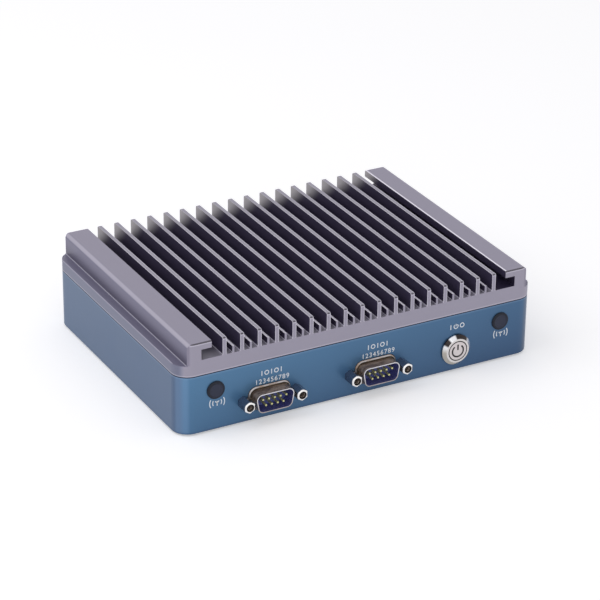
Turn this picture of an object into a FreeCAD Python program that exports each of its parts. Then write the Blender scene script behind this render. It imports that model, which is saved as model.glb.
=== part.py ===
"""Fanless industrial computer: an extruded finned lid on a shallow ring-shaped housing.

Millimetres.  X runs to the right along the front panel, Y runs to the rear and Z is up.  The origin lies on
the floor under the middle of the housing.  Parts that sit in a panel are drawn in a frame of their own, with
the origin on the panel's outer face and -Y pointing out of the panel; a rear part is turned half a turn.
"""
import FreeCAD
import Part
import Sketcher
import math
import os
import re

# ---------------------------------------------------------------------------------------------------------
# Driving dimensions
# ---------------------------------------------------------------------------------------------------------

SIZES = {
    # housing ring and bottom cover
    "body_width": 174.0,
    "body_depth": 124.0,
    "corner_radius": 7.5,
    "frame_height": 27.2,
    "frame_wall": 1.5,
    "frame_edge": 0.4,
    "cover_thickness": 1.5,
    "cover_gap": 0.2,
    "boss_offset": 6.0,
    "boss_radius": 4.6,
    "boss_height": 8.0,
    "lug_reach": 8.0,
    "lug_width": 12.0,
    "lug_thickness": 3.0,
    "lug_place": 30.0,
    "foot_height": 0.8,
    "foot_radius": 7.0,
    "foot_inset": 17.0,
    "foot_edge": 0.3,
    # screws: one size of thread throughout
    "thread_radius": 1.5,
    "thread_fit": 0.05,
    "screw_hole_gap": 0.15,
    "sunk_head_radius": 2.9,
    "pan_head_radius": 2.75,
    "pan_head_height": 1.9,
    "pan_head_edge": 0.5,
    "cover_screw_length": 7.0,
    "lug_screw_bite": 4.5,
    "lid_screw_bite": 4.0,
    "board_screw_bite": 3.0,
    "screw_tip_gap": 1.0,
    "drive_radius": 1.0,
    "drive_depth": 0.9,
    # threaded nuts of the mounting square
    "mount_square": 75.0,
    "mount_thread_radius": 1.65,
    "nut_pilot_radius": 2.7,
    "nut_rim_radius": 3.6,
    "nut_rim_height": 1.3,
    # finned lid
    "ledge_height": 5.1,
    "floor_height": 7.0,
    "lid_height": 15.0,
    "rail_inset": 4.2,
    "rail_wall": 6.3,
    "lip_reach": 4.8,
    "lip_thickness": 3.2,
    "rail_round": 2.2,
    "rail_root": 0.5,
    "ledge_edge": 0.4,
    "end_bevel": 0.5,
    "fin_count": 17,
    "rail_gap": 5.04,
    "fin_thickness": 1.8,
    "low_fin_thickness": 1.0,
    "low_fin_height": 3.2,
    # main board and what stands on it
    "board_level": 18.0,
    "board_thickness": 1.6,
    "board_side_gap": 12.0,
    "board_rear_gap": 4.0,
    "board_front_gap": 3.0,
    "board_shoulder": 27.0,
    "tongue_margin": 1.45,
    "standoff_side_gap": 6.0,
    "standoff_front_gap": 7.0,
    "standoff_rear_gap": 20.0,
    "standoff_radius": 2.8,
    "standoff_web": 1.5,
    "chip_across": 35.0,
    "chip_along": 24.0,
    "chip_base_height": 1.2,
    "die_across": 12.0,
    "die_along": 10.0,
    "die_height": 0.8,
    "chip_place": 5.0,
    "pad_across": 16.0,
    "pad_height": 0.5,
    "block_across": 50.0,
    "block_edge": 1.0,
    "block_screw_square": 38.0,
    "memory_across": 67.6,
    "memory_along": 30.0,
    "memory_thickness": 1.0,
    "memory_slot_y": 17.0,
    "card_drop": 2.6,
    "socket_depth": 6.0,
    "socket_height": 5.0,
    "socket_side": 1.2,
    "card_bite": 2.5,
    "card_gap": 0.05,
    "memory_chip_across": 11.0,
    "memory_chip_along": 13.0,
    "memory_chip_height": 0.9,
    "memory_chip_shift": 1.0,
    "card_width": 22.0,
    "card_thickness": 0.8,
    "card_chip_height": 1.2,
    "card_chip_share": 0.6,
    "storage_slot_y": 34.0,
    "storage_along": 60.0,
    "card_side_gap": 2.0,
    "card_space": 3.0,
    "wireless_along": 30.0,
    "wireless_slot_y": 20.0,
    "post_radius": 2.2,
    "post_edge_gap": 0.3,
    "cell_side_gap": 0.7,
    "cell_y": 2.0,
    "cell_radius": 10.0,
    "cell_height": 3.2,
    "cell_wall": 1.2,
    "cell_floor": 1.0,
    "cell_gap": 0.1,
    "cell_step": 0.8,
    "cell_step_height": 0.4,
    # nine-pin serial connectors
    "serial_left_inset": 42.4,
    "serial_right_x": 6.9,
    "serial_level": 9.9,
    "serial_reach": 5.8,
    "jack_spacing": 24.99,
    "flange_width": 30.8,
    "flange_height": 12.5,
    "flange_thickness": 0.8,
    "root_growth": 1.15,
    "root_rise": 0.7,
    "root_edge": 0.5,
    "shell_width": 18.7,
    "shell_height": 8.8,
    "shell_slant": 0.176,
    "shell_corner": 2.6,
    "shell_wall": 0.4,
    "cutout_gap": 0.25,
    "insert_gap": 0.05,
    "insert_level": 0.4,
    "shroud_depth": 10.5,
    "pin_radius": 0.5,
    "pin_pitch": 2.77,
    "pin_row_rise": 1.42,
    "pin_reach": 5.4,
    "pin_tip": 0.3,
    "pin_root": 4.0,
    "jack_across_flats": 4.8,
    "jack_reach": 6.8,
    "jack_thread_radius": 1.2,
    "jack_thread_depth": 5.0,
    "jack_stud_radius": 1.4,
    "jack_stud_length": 6.0,
    "jack_chamfer": 0.45,
    "jack_hole_gap": 0.2,
    # power button
    "button_inset": 39.8,
    "button_level": 10.2,
    "bezel_radius": 7.1,
    "bezel_rim": 0.5,
    "bezel_rise": 1.9,
    "bezel_flat_radius": 5.6,
    "gasket_height": 0.4,
    "gasket_radius": 6.9,
    "cap_radius": 4.6,
    "cap_gap": 0.15,
    "cap_thickness": 4.9,
    "cap_edge": 0.2,
    "cap_stem_radius": 2.5,
    "cap_stem_length": 4.0,
    "button_travel": 1.5,
    "button_stop_gap": 0.5,
    "barrel_radius": 5.95,
    "barrel_length": 14.0,
    "barrel_fit": 0.1,
    "nut_across_flats": 14.0,
    "nut_height": 2.5,
    "base_radius": 5.4,
    "base_length": 6.0,
    "terminal_width": 2.0,
    "terminal_thickness": 0.5,
    "terminal_length": 4.0,
    "terminal_spread": 5.0,
    # antenna hole plugs
    "plug_left_inset": 17.0,
    "plug_right_inset": 17.3,
    "plug_level": 18.7,
    "plug_radius": 4.1,
    "plug_rise": 1.0,
    "plug_edge": 0.5,
    "plug_dish": 0.25,
    "plug_shank_radius": 3.1,
    "plug_hole_gap": 0.1,
    "plug_barb": 0.4,
    "plug_length": 2.5,
    # rear connectors
    "port_proud": 0.5,
    "port_gap": 0.3,
    "port_wall": 0.5,
    "data_width": 13.2,
    "data_height": 15.0,
    "data_depth": 17.5,
    "data_slot_height": 5.2,
    "data_slot_pitch": 7.8,
    "data_slot_depth": 9.0,
    "data_tongue_width": 11.1,
    "data_tongue_height": 1.8,
    "tongue_setback": 1.0,
    "network_width": 16.0,
    "network_height": 13.4,
    "network_depth": 21.0,
    "network_slot_width": 11.9,
    "network_slot_height": 8.2,
    "network_slot_depth": 12.5,
    "network_latch_width": 6.2,
    "network_latch_height": 1.6,
    "contact_count": 8,
    "contact_pitch": 1.27,
    "contact_width": 0.45,
    "contact_height": 0.6,
    "contact_setback": 2.0,
    "video_width": 15.0,
    "video_height": 5.6,
    "video_depth": 11.5,
    "video_chamfer": 1.4,
    "video_slot_depth": 7.0,
    "video_tongue_width": 10.5,
    "video_tongue_height": 1.5,
    "power_level": 10.5,
    "power_flange_radius": 6.0,
    "power_flange_rise": 1.2,
    "power_flange_edge": 0.4,
    "power_barrel_radius": 4.9,
    "power_barrel_length": 13.0,
    "power_bore_radius": 3.15,
    "power_bore_depth": 9.5,
    "power_pin_radius": 1.25,
    "power_pin_edge": 0.3,
    "power_nut_flats": 12.5,
    "power_nut_height": 2.0,
}

# levels above the floor and shared places, as formulas in the sizes above
BOTTOM = "foot_height"
COVER_TOP = "(foot_height + cover_thickness)"
SEAM = "(foot_height + frame_height)"
LEDGE = "(foot_height + frame_height + ledge_height)"
FLOOR = "(foot_height + frame_height + floor_height)"
TOP = "(foot_height + frame_height + lid_height)"
BOARD_UNDER = "(foot_height + board_level)"
BOARD_TOP = "(foot_height + board_level + board_thickness)"
PANEL = "(body_depth / 2)"
SIDE = "(body_width / 2)"
BOSS_X = "(body_width / 2 - boss_offset)"
BOSS_Y = "(body_depth / 2 - boss_offset)"
LUG_X = "(body_width / 2 - frame_wall - lug_reach / 2)"
BLOCK_HEIGHT = "(frame_height - board_level - board_thickness - chip_base_height - die_height - pad_height)"
THREAD_HOLE = "(thread_radius + thread_fit)"
CLEAR_HOLE = "(thread_radius + screw_hole_gap)"
HEX_TO_RADIUS = "(2 * cos(30))"
FIRST_FIN = "(rail_inset + rail_wall + lip_reach + rail_gap + fin_thickness / 2)"
FIN_PITCH = "((body_width - 2 * %s) / (fin_count - 1))" % FIRST_FIN
BOARD_SIDE = "(body_width / 2 - board_side_gap)"
BOARD_REAR = "(body_depth / 2 - board_rear_gap)"
SHOULDER = "(body_depth / 2 - board_shoulder)"
STANDOFF_X = "(body_width / 2 - board_side_gap - standoff_side_gap)"
STANDOFF_FRONT = "(body_depth / 2 - board_shoulder - standoff_front_gap)"
STANDOFF_REAR = "(body_depth / 2 - board_rear_gap - standoff_rear_gap)"
STANDOFF_SPAN = "(%s + %s)" % (STANDOFF_FRONT, STANDOFF_REAR)
WIRELESS_X = "(%s - card_side_gap - card_width / 2)" % BOARD_SIDE
STORAGE_X = "(%s - card_space - card_width)" % WIRELESS_X
CELL_OUTSIDE = "(cell_radius + cell_gap + cell_wall)"
CELL_X = "(%s - card_width / 2 - cell_side_gap - %s)" % (STORAGE_X, CELL_OUTSIDE)
MEMORY_X = "(%s - %s - cell_side_gap - socket_side - memory_across / 2)" % (CELL_X, CELL_OUTSIDE)
BUTTON_X = "(body_width / 2 - button_inset)"
SERIAL_LEFT_X = "(serial_left_inset - body_width / 2)"
PLUGS = {"antenna_plug_left": "(plug_left_inset - body_width / 2)",
         "antenna_plug_right": "(body_width / 2 - plug_right_inset)"}

# rear connectors from left to right, with the width that each takes; equal gaps share out what is left
REAR_ROW = {
    "serial_rear": "flange_width",
    "data_port_a": "data_width",
    "data_port_b": "data_width",
    "network_port_a": "network_width",
    "network_port_b": "network_width",
    "video_port_a": "video_width",
    "video_port_b": "video_width",
    "power_jack": "(power_nut_flats / cos(30))",
}
ROW_LEFT = "(boss_offset + boss_radius - body_width / 2)"
ROW_GAP = "((-2 * %s - %s) / %d)" % (ROW_LEFT, " - ".join(REAR_ROW.values()), len(REAR_ROW) + 1)


def rear_place(name):
    """Place of one rear connector: the row's left end, what stands before it and half its own width."""
    before = list(REAR_ROW)[:list(REAR_ROW).index(name)]
    widths = " + ".join([REAR_ROW[earlier] for earlier in before] + [REAR_ROW[name] + " / 2"])
    return "(%s + %d * %s + %s)" % (ROW_LEFT, len(before) + 1, ROW_GAP, widths)


SERIAL_PORTS = {"serial_left": (SERIAL_LEFT_X, False), "serial_right": ("serial_right_x", False),
                "serial_rear": (rear_place("serial_rear"), True)}

# how close two lengths are when they count as equal, and the size of a sketch before its formulas hold
CLOSE = 0.01
ROUGH = 10.0

doc = FreeCAD.newDocument("fanless_computer")
nodes = []

sheet = doc.addObject("Spreadsheet::Sheet", "sizes")
for row, (alias, number) in enumerate(SIZES.items(), start=1):
    sheet.set("A%d" % row, alias)
    sheet.set("B%d" % row, str(number))
    sheet.setAlias("B%d" % row, alias)
doc.recompute()


# ---------------------------------------------------------------------------------------------------------
# Helpers: formulas, sketches and features
# ---------------------------------------------------------------------------------------------------------

def formula(text):
    """Expression with every size name in the text read from the sheet."""
    def from_sheet(word):
        return "sizes." + word.group() if word.group() in SIZES else word.group()
    return re.sub(r"[a-z_]+", from_sheet, text)


def bind(thing, prop, text):
    """Tie a property of a document object to a formula."""
    thing.setExpression(prop, formula(text))


def new_body(label, x="0", y="0", z="0", rear=False):
    """Empty body of one sub-part, its own frame placed at (x, y, z) and turned to face a rear part out."""
    body = doc.addObject("PartDesign::Body", label)
    body.Label = label
    if rear:
        body.Placement = FreeCAD.Placement(FreeCAD.Vector(), FreeCAD.Rotation(180, 0, 0))
    for axis, text in zip("xyz", (x, y, z)):
        bind(body, "Placement.Base." + axis, text)
    nodes.append(body)
    return body


def panel_body(label, x, level, rear=False):
    """Body of a part in the front or rear panel, its origin on the panel's outer face."""
    return new_body(label, x, PANEL if rear else "-" + PANEL, level, rear)


def origin_part(body, role):
    return next(item for item in body.Origin.OriginFeatures if item.Role == role)


def new_sketch(body, name, role, offset="0"):
    """Sketch on one of the body's own planes, moved along that plane's normal."""
    sketch = body.newObject("Sketcher::SketchObject", body.Label + "_" + name)
    sketch.AttachmentSupport = [(origin_part(body, role), "")]
    sketch.MapMode = "FlatFace"
    bind(sketch, "AttachmentOffset.Base.z", offset)
    return sketch


def place_point(sketch, geometry, point, x, y):
    """Fix one point of a sketch geometry at formulas x and y from the sketch's origin."""
    start = sketch.getPoint(geometry, point)
    for kind, value, text in (("DistanceX", start.x, x), ("DistanceY", start.y, y)):
        index = sketch.addConstraint(Sketcher.Constraint(kind, -1, 1, geometry, point, value))
        bind(sketch, "Constraints[%d]" % index, text)


def outline(sketch, corners):
    """Closed outline with straight sides; each corner is a pair of formulas."""
    count = len(corners)
    first = sketch.GeometryCount
    turns = [2 * math.pi * step / count for step in range(count + 1)]
    points = [FreeCAD.Vector(math.cos(turn), math.sin(turn), 0) for turn in turns]
    for step in range(count):
        sketch.addGeometry(Part.LineSegment(points[step], points[step + 1]))
    for step, (x, y) in enumerate(corners):
        following = first + (step + 1) % count
        sketch.addConstraint(Sketcher.Constraint("Coincident", first + step, 2, following, 1))
        place_point(sketch, first + step, 1, x, y)


def rectangle(sketch, x, y, width, height):
    """Rectangle about a centre."""
    left = "%s - (%s) / 2" % (x, width)
    right = "%s + (%s) / 2" % (x, width)
    low = "%s - (%s) / 2" % (y, height)
    high = "%s + (%s) / 2" % (y, height)
    outline(sketch, [(left, low), (right, low), (right, high), (left, high)])


def circle(sketch, x, y, radius):
    index = sketch.addGeometry(Part.Circle(FreeCAD.Vector(), FreeCAD.Vector(0, 0, 1), ROUGH))
    place_point(sketch, index, 3, x, y)
    limit = sketch.addConstraint(Sketcher.Constraint("Radius", index, ROUGH))
    bind(sketch, "Constraints[%d]" % limit, radius)


def hexagon(sketch, x, y, across_flats, upright=False):
    """Regular hexagon with two corners on its horizontal or, if upright, its vertical centre line."""
    far = "(%s) / %s" % (across_flats, HEX_TO_RADIUS)
    near = "(%s) / 2" % far
    flat = "(%s) / 2" % across_flats
    turns = [(far, "0"), (near, flat), ("-" + near, flat), ("-" + far, "0"), ("-" + near, "-" + flat),
             (near, "-" + flat)]
    if upright:
        turns = [(rise, across) for across, rise in reversed(turns)]
    outline(sketch, [("%s + (%s)" % (x, dx), "%s + (%s)" % (y, dy)) for dx, dy in turns])


def rounded_rectangle(sketch, width, depth, radius):
    """Rectangle about the origin with an arc at each corner."""
    first = sketch.GeometryCount
    corners = ((1, 1), (-1, 1), (-1, -1), (1, -1))
    for step, (across, along) in enumerate(corners):
        centre = FreeCAD.Vector(2 * ROUGH * across, 2 * ROUGH * along, 0)
        ring = Part.Circle(centre, FreeCAD.Vector(0, 0, 1), ROUGH)
        start = step * math.pi / 2
        sketch.addGeometry(Part.ArcOfCircle(ring, start, start + math.pi / 2))
    for step in range(4):
        arc = first + step
        ends = (sketch.getPoint(arc, 2), sketch.getPoint(first + (step + 1) % 4, 1))
        side = sketch.addGeometry(Part.LineSegment(*ends))
        sketch.addConstraint(Sketcher.Constraint("Coincident", arc, 2, side, 1))
        sketch.addConstraint(Sketcher.Constraint("Coincident", side, 2, first + (step + 1) % 4, 1))
    for step, (across, along) in enumerate(corners):
        arc = first + step
        x = "%d * ((%s) / 2 - (%s))" % (across, width, radius)
        y = "%d * ((%s) / 2 - (%s))" % (along, depth, radius)
        place_point(sketch, arc, 3, x, y)
        limit = sketch.addConstraint(Sketcher.Constraint("Radius", arc, ROUGH))
        bind(sketch, "Constraints[%d]" % limit, radius)
        level_end, upright_end = (1, 2) if across * along > 0 else (2, 1)
        sketch.addConstraint(Sketcher.Constraint("Horizontal", arc, level_end, arc, 3))
        sketch.addConstraint(Sketcher.Constraint("Vertical", arc, upright_end, arc, 3))


def d_outline(sketch, grown="0", x="0", y="0"):
    """Connector D about (x, y), its wider side up and its corners round, moved outwards by the formula grown.

    With w, h and r the shell's width, height and corner radius and k its slant, the upper arcs are centred at
    w/2 - k r - r sqrt(1 + k^2) from the middle and the lower ones at w/2 - k (h - r) - r sqrt(1 + k^2).
    """
    slope = "sqrt(1 + shell_slant * shell_slant)"
    radius = "(shell_corner + (%s))" % grown
    lean = "(shell_width / 2 - shell_corner * %s)" % slope
    upper = "(%s - shell_slant * shell_corner)" % lean
    lower = "(%s - shell_slant * (shell_height - shell_corner))" % lean
    rise = "(shell_height / 2 - shell_corner)"
    tilt = math.atan(SIZES["shell_slant"])
    turns = ((-tilt, math.pi / 2), (math.pi / 2, math.pi + tilt), (math.pi + tilt, 1.5 * math.pi),
             (-math.pi / 2, -tilt))
    # side (1 right), height (1 up), centre distance, arc end on the slanted side, arc end on the level side
    arcs = ((1, 1, upper, 1, 2), (-1, 1, upper, 2, 1), (-1, -1, lower, 1, 2), (1, -1, lower, 2, 1))
    first = sketch.GeometryCount
    for corner, turn in zip(arcs, turns):
        centre = FreeCAD.Vector(3 * ROUGH * corner[0], 2 * ROUGH * corner[1], 0)
        ring = Part.Circle(centre, FreeCAD.Vector(0, 0, 1), ROUGH)
        sketch.addGeometry(Part.ArcOfCircle(ring, *turn))
    for step in range(4):
        following = first + (step + 1) % 4
        line = sketch.addGeometry(Part.LineSegment(sketch.getPoint(first + step, 2),
                                                   sketch.getPoint(following, 1)))
        sketch.addConstraint(Sketcher.Constraint("Coincident", first + step, 2, line, 1))
        sketch.addConstraint(Sketcher.Constraint("Coincident", line, 2, following, 1))
    for step, (side, height, reach, slant_end, level_end) in enumerate(arcs):
        centre_x = "%s + %d * %s" % (x, side, reach)
        centre_y = "%s + %d * %s" % (y, height, rise)
        place_point(sketch, first + step, 3, centre_x, centre_y)
        place_point(sketch, first + step, slant_end, "%s + %d * %s / %s" % (centre_x, side, radius, slope),
                    "%s - %s * shell_slant / %s" % (centre_y, radius, slope))
        sketch.addConstraint(Sketcher.Constraint("Vertical", first + step, level_end, first + step, 3))


def finish_feature(body, feature):
    body.Tip = feature
    doc.recompute()
    return feature


def pad(body, sketch, length, inward=False, symmetric=False):
    """Add the sketch's area, along its normal or, if inward, against it."""
    feature = body.newObject("PartDesign::Pad", sketch.Label + "_pad")
    feature.Profile = sketch
    bind(feature, "Length", length)
    feature.Reversed = inward
    feature.SideType = "Symmetric" if symmetric else "One side"
    return finish_feature(body, feature)


def pocket(body, sketch, length, outward=False, symmetric=False):
    """Cut the sketch's area, against its normal or, if outward, along it; the cut has to remove metal."""
    before = body.Shape.Volume
    feature = body.newObject("PartDesign::Pocket", sketch.Label + "_pocket")
    feature.Profile = sketch
    bind(feature, "Length", length)
    feature.Reversed = outward
    feature.SideType = "Symmetric" if symmetric else "One side"
    finish_feature(body, feature)
    if body.Shape.Volume >= before:
        raise ValueError(feature.Label + " removes nothing")
    return feature


def revolve(body, sketch, axis):
    """Turn the sketch's area once round its own horizontal (H_Axis) or upright (V_Axis) axis."""
    feature = body.newObject("PartDesign::Revolution", sketch.Label + "_turned")
    feature.Profile = sketch
    feature.ReferenceAxis = (sketch, [axis])
    feature.Angle = 360
    return finish_feature(body, feature)


def turned(body, points, axis="H_Axis"):
    """Turn a half section: (along the axis, radius) pairs about Y, or (radius, height) pairs about Z."""
    role = "YZ_Plane" if axis == "H_Axis" else "XZ_Plane"
    sketch = new_sketch(body, "section", role)
    outline(sketch, points)
    revolve(body, sketch, axis)


def edges_where(body, test):
    """Names of the body's edges that pass a test on their bounding box."""
    return ["Edge%d" % number for number, edge in enumerate(body.Shape.Edges, start=1) if test(edge)]


def dress(body, kind, names, prop, text):
    """Fillet or chamfer the named edges of the body's last feature."""
    feature = body.newObject("PartDesign::" + kind, "%s_%s" % (body.Label, kind.lower()))
    feature.Base = (body.Group[-2], names)
    bind(feature, prop, text)
    return finish_feature(body, feature)


def fillet(body, names, radius):
    return dress(body, "Fillet", names, "Radius", radius)


def chamfer(body, names, size):
    return dress(body, "Chamfer", names, "Size", size)


def runs_along(edge, axis):
    """True for an edge whose bounding box is a line along one axis."""
    box = edge.BoundBox
    spans = {"x": box.XLength, "y": box.YLength, "z": box.ZLength}
    return spans.pop(axis) > CLOSE and max(spans.values()) < CLOSE


def pattern(body, feature, first, second=None):
    """Copies of a feature in one or two directions; each direction is an axis, a spacing and a count."""
    copies = body.newObject("PartDesign::LinearPattern", feature.Label + "_copies")
    copies.Originals = [feature]
    for suffix, direction in (("", first), ("2", second)):
        if direction:
            role, spacing, count = direction
            setattr(copies, "Direction" + suffix, (origin_part(body, role), [""]))
            setattr(copies, "Mode" + suffix, "Spacing")
            setattr(copies, "Spacings" + suffix, [-1.0])
            bind(copies, "Offset" + suffix, spacing)
            bind(copies, "Occurrences" + suffix, count)
    return finish_feature(body, copies)


def block(label, x, y, z, width, depth, height):
    """Rectangular body standing on level z, its plan centred on (x, y)."""
    body = new_body(label, x, y, z)
    sketch = new_sketch(body, "plan", "XY_Plane")
    rectangle(sketch, "0", "0", width, depth)
    pad(body, sketch, height)
    return body


# ---------------------------------------------------------------------------------------------------------
# Finned lid
# ---------------------------------------------------------------------------------------------------------

def make_heatsink():
    """Extruded lid: a base with a ledge each side, two rails with inward lips, tall and low fins."""
    body = new_body("heatsink")
    section = new_sketch(body, "section", "XZ_Plane")
    wall_out = "(body_width / 2 - rail_inset)"
    wall_in = "(body_width / 2 - rail_inset - rail_wall)"
    lip_in = "(body_width / 2 - rail_inset - rail_wall - lip_reach)"
    lip_under = "(%s - lip_thickness)" % TOP
    right = [(SIDE, SEAM), (SIDE, LEDGE), (wall_out, LEDGE), (wall_out, TOP), (lip_in, TOP),
             (lip_in, lip_under), (wall_in, lip_under), (wall_in, FLOOR)]
    left = [("-" + x, z) for x, z in reversed(right)]
    outline(section, right + left)
    pad(body, section, "body_depth", symmetric=True)

    side = SIZES["body_width"] / 2
    rail_side = side - SIZES["rail_inset"]
    seam = SIZES["foot_height"] + SIZES["frame_height"]
    ledge = seam + SIZES["ledge_height"]
    top = seam + SIZES["lid_height"]

    def long_edges(x, z):
        def test(edge):
            box = edge.BoundBox
            at_place = abs(abs(box.XMin) - x) < CLOSE and abs(box.ZMin - z) < CLOSE
            return at_place and runs_along(edge, "y")
        return edges_where(body, test)

    fillet(body, long_edges(rail_side, top), "rail_round")
    fillet(body, long_edges(rail_side, ledge), "rail_root")
    fillet(body, long_edges(side, ledge), "ledge_edge")

    fin = new_sketch(body, "fin", "XZ_Plane")
    first_fin = "(%s - body_width / 2)" % FIRST_FIN
    rectangle(fin, first_fin, "(%s + %s) / 2" % (LEDGE, TOP), "fin_thickness", "%s - %s" % (TOP, LEDGE))
    tall = pad(body, fin, "body_depth", symmetric=True)
    pattern(body, tall, ("X_Axis", FIN_PITCH, "fin_count"))

    low_fin = new_sketch(body, "low_fin", "XZ_Plane")
    low_top = "(%s + low_fin_height)" % FLOOR
    rectangle(low_fin, "%s + %s / 2" % (first_fin, FIN_PITCH), "(%s + %s) / 2" % (LEDGE, low_top),
              "low_fin_thickness", "%s - %s" % (low_top, LEDGE))
    low = pad(body, low_fin, "body_depth", symmetric=True)
    pattern(body, low, ("X_Axis", FIN_PITCH, "fin_count - 1"))

    trim = new_sketch(body, "corner_trim", "XY_Plane")
    rectangle(trim, "0", "0", "2 * body_width", "2 * body_depth")
    rounded_rectangle(trim, "body_width", "body_depth", "corner_radius")
    pocket(body, trim, "2 * " + TOP, outward=True)

    bevel = new_sketch(body, "end_bevel", "YZ_Plane")
    for sign in ("-", ""):
        end = sign + PANEL
        inner = "%s(body_depth / 2 - end_bevel)" % sign
        outline(bevel, [(end, "%s - end_bevel" % TOP), (inner, TOP), (end, TOP)])
    pocket(body, bevel, "2 * body_width", symmetric=True)

    lug_holes = new_sketch(body, "lug_screw_holes", "XY_Plane", SEAM)
    circle(lug_holes, "-" + LUG_X, "-lug_place", THREAD_HOLE)
    drilled = pocket(body, lug_holes, "lug_screw_bite", outward=True)
    pattern(body, drilled, ("X_Axis", "2 * " + LUG_X, "2"), ("Y_Axis", "2 * lug_place", "2"))

    inner_holes = new_sketch(body, "inner_screw_holes", "XY_Plane", SEAM)
    half = "block_screw_square / 2"
    for x_sign in ("-", ""):
        for y_sign in ("-", "+"):
            circle(inner_holes, x_sign + half, "chip_place %s %s" % (y_sign, half), THREAD_HOLE)
        for y in ("-" + STANDOFF_FRONT, STANDOFF_REAR):
            circle(inner_holes, x_sign + STANDOFF_X, y, THREAD_HOLE)
    pocket(body, inner_holes, "lid_screw_bite", outward=True)


# ---------------------------------------------------------------------------------------------------------
# Housing ring, cover, feet and fasteners
# ---------------------------------------------------------------------------------------------------------

def make_frame():
    """Housing ring with corner bosses, side lugs and the front and rear cut-outs."""
    body = new_body("chassis_frame")
    outside = new_sketch(body, "outside", "XY_Plane", BOTTOM)
    rounded_rectangle(outside, "body_width", "body_depth", "corner_radius")
    pad(body, outside, "frame_height")

    fillet(body, edges_where(body, lambda edge: edge.BoundBox.ZLength < CLOSE), "frame_edge")

    inside = new_sketch(body, "inside", "XY_Plane", BOTTOM)
    rounded_rectangle(inside, "body_width - 2 * frame_wall", "body_depth - 2 * frame_wall",
                      "corner_radius - frame_wall")
    pocket(body, inside, "frame_height", outward=True)

    boss = new_sketch(body, "boss", "XY_Plane", COVER_TOP)
    circle(boss, "-" + BOSS_X, "-" + BOSS_Y, "boss_radius")
    column = pad(body, boss, "boss_height")
    pattern(body, column, ("X_Axis", "2 * " + BOSS_X, "2"), ("Y_Axis", "2 * " + BOSS_Y, "2"))
    boss_hole = new_sketch(body, "boss_hole", "XY_Plane", COVER_TOP)
    circle(boss_hole, "-" + BOSS_X, "-" + BOSS_Y, THREAD_HOLE)
    drilled = pocket(body, boss_hole, "boss_height", outward=True)
    pattern(body, drilled, ("X_Axis", "2 * " + BOSS_X, "2"), ("Y_Axis", "2 * " + BOSS_Y, "2"))

    lug = new_sketch(body, "lug", "XY_Plane", "%s - lug_thickness" % SEAM)
    for sign in ("-", ""):
        for y in ("-lug_place", "lug_place"):
            inner = "%s(body_width / 2 - frame_wall - lug_reach)" % sign
            outer = "%s(body_width / 2 - frame_wall / 2)" % sign
            low = "%s - lug_width / 2" % y
            high = "%s + lug_width / 2" % y
            outline(lug, [(inner, low), (outer, low), (outer, high), (inner, high)])
    pad(body, lug, "lug_thickness")
    lug_hole = new_sketch(body, "lug_hole", "XY_Plane", SEAM)
    for x_sign in ("-", ""):
        for y in ("-lug_place", "lug_place"):
            circle(lug_hole, x_sign + LUG_X, y, CLEAR_HOLE)
    pocket(body, lug_hole, "lug_thickness")

    front = new_sketch(body, "front_holes", "XZ_Plane", PANEL)
    circle(front, BUTTON_X, BOTTOM + " + button_level", "barrel_radius + barrel_fit")
    for x in PLUGS.values():
        circle(front, x, BOTTOM + " + plug_level", "plug_shank_radius + plug_hole_gap")
    serial_holes(front, rear=False)
    pocket(body, front, "2 * frame_wall")

    # each rear opening is a cut of its own, so two may run into one another in a narrower housing
    for name in REAR_ROW:
        opening = new_sketch(body, name + "_hole", "XZ_Plane", "-" + PANEL)
        kind = name.split("_")[0]
        if name in SERIAL_PORTS:
            serial_holes(opening, rear=True)
        elif "_port_" in name:
            rectangle(opening, rear_place(name), "%s - %s_height / 2" % (BOARD_UNDER, kind),
                      "%s_width + 2 * port_gap" % kind, "%s_height + 2 * port_gap" % kind)
        else:
            circle(opening, rear_place(name), BOTTOM + " + power_level", "power_barrel_radius + port_gap")
        pocket(body, opening, "2 * frame_wall", outward=True)


def serial_holes(sketch, rear):
    """D-shaped cut-out and two jackscrew holes for each serial connector of one panel."""
    level = "(%s + serial_level)" % BOTTOM
    for x, at_rear in SERIAL_PORTS.values():
        if at_rear == rear:
            d_outline(sketch, "root_growth + cutout_gap", x, level)
            for sign in ("-", "+"):
                across = "%s %s jack_spacing / 2" % (x, sign)
                circle(sketch, across, level, "jack_stud_radius + jack_hole_gap")


def make_cover():
    """Bottom cover inside the ring, with sunk screw holes and the holes of the mounting square."""
    body = new_body("bottom_cover")
    plan = new_sketch(body, "plan", "XY_Plane", BOTTOM)
    rounded_rectangle(plan, "body_width - 2 * frame_wall - 2 * cover_gap",
                      "body_depth - 2 * frame_wall - 2 * cover_gap", "corner_radius - frame_wall - cover_gap")
    pad(body, plan, "cover_thickness")
    nut_hole = new_sketch(body, "nut_hole", "XY_Plane", BOTTOM)
    circle(nut_hole, "-mount_square / 2", "-mount_square / 2", "nut_pilot_radius + thread_fit")
    punched = pocket(body, nut_hole, "cover_thickness", outward=True)
    pattern(body, punched, ("X_Axis", "mount_square", "2"), ("Y_Axis", "mount_square", "2"))
    screw_hole = new_sketch(body, "screw_hole", "XY_Plane", BOTTOM)
    circle(screw_hole, "-" + BOSS_X, "-" + BOSS_Y, CLEAR_HOLE)
    drilled = pocket(body, screw_hole, "cover_thickness", outward=True)
    pattern(body, drilled, ("X_Axis", "2 * " + BOSS_X, "2"), ("Y_Axis", "2 * " + BOSS_Y, "2"))
    sink_holes(body)


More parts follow.
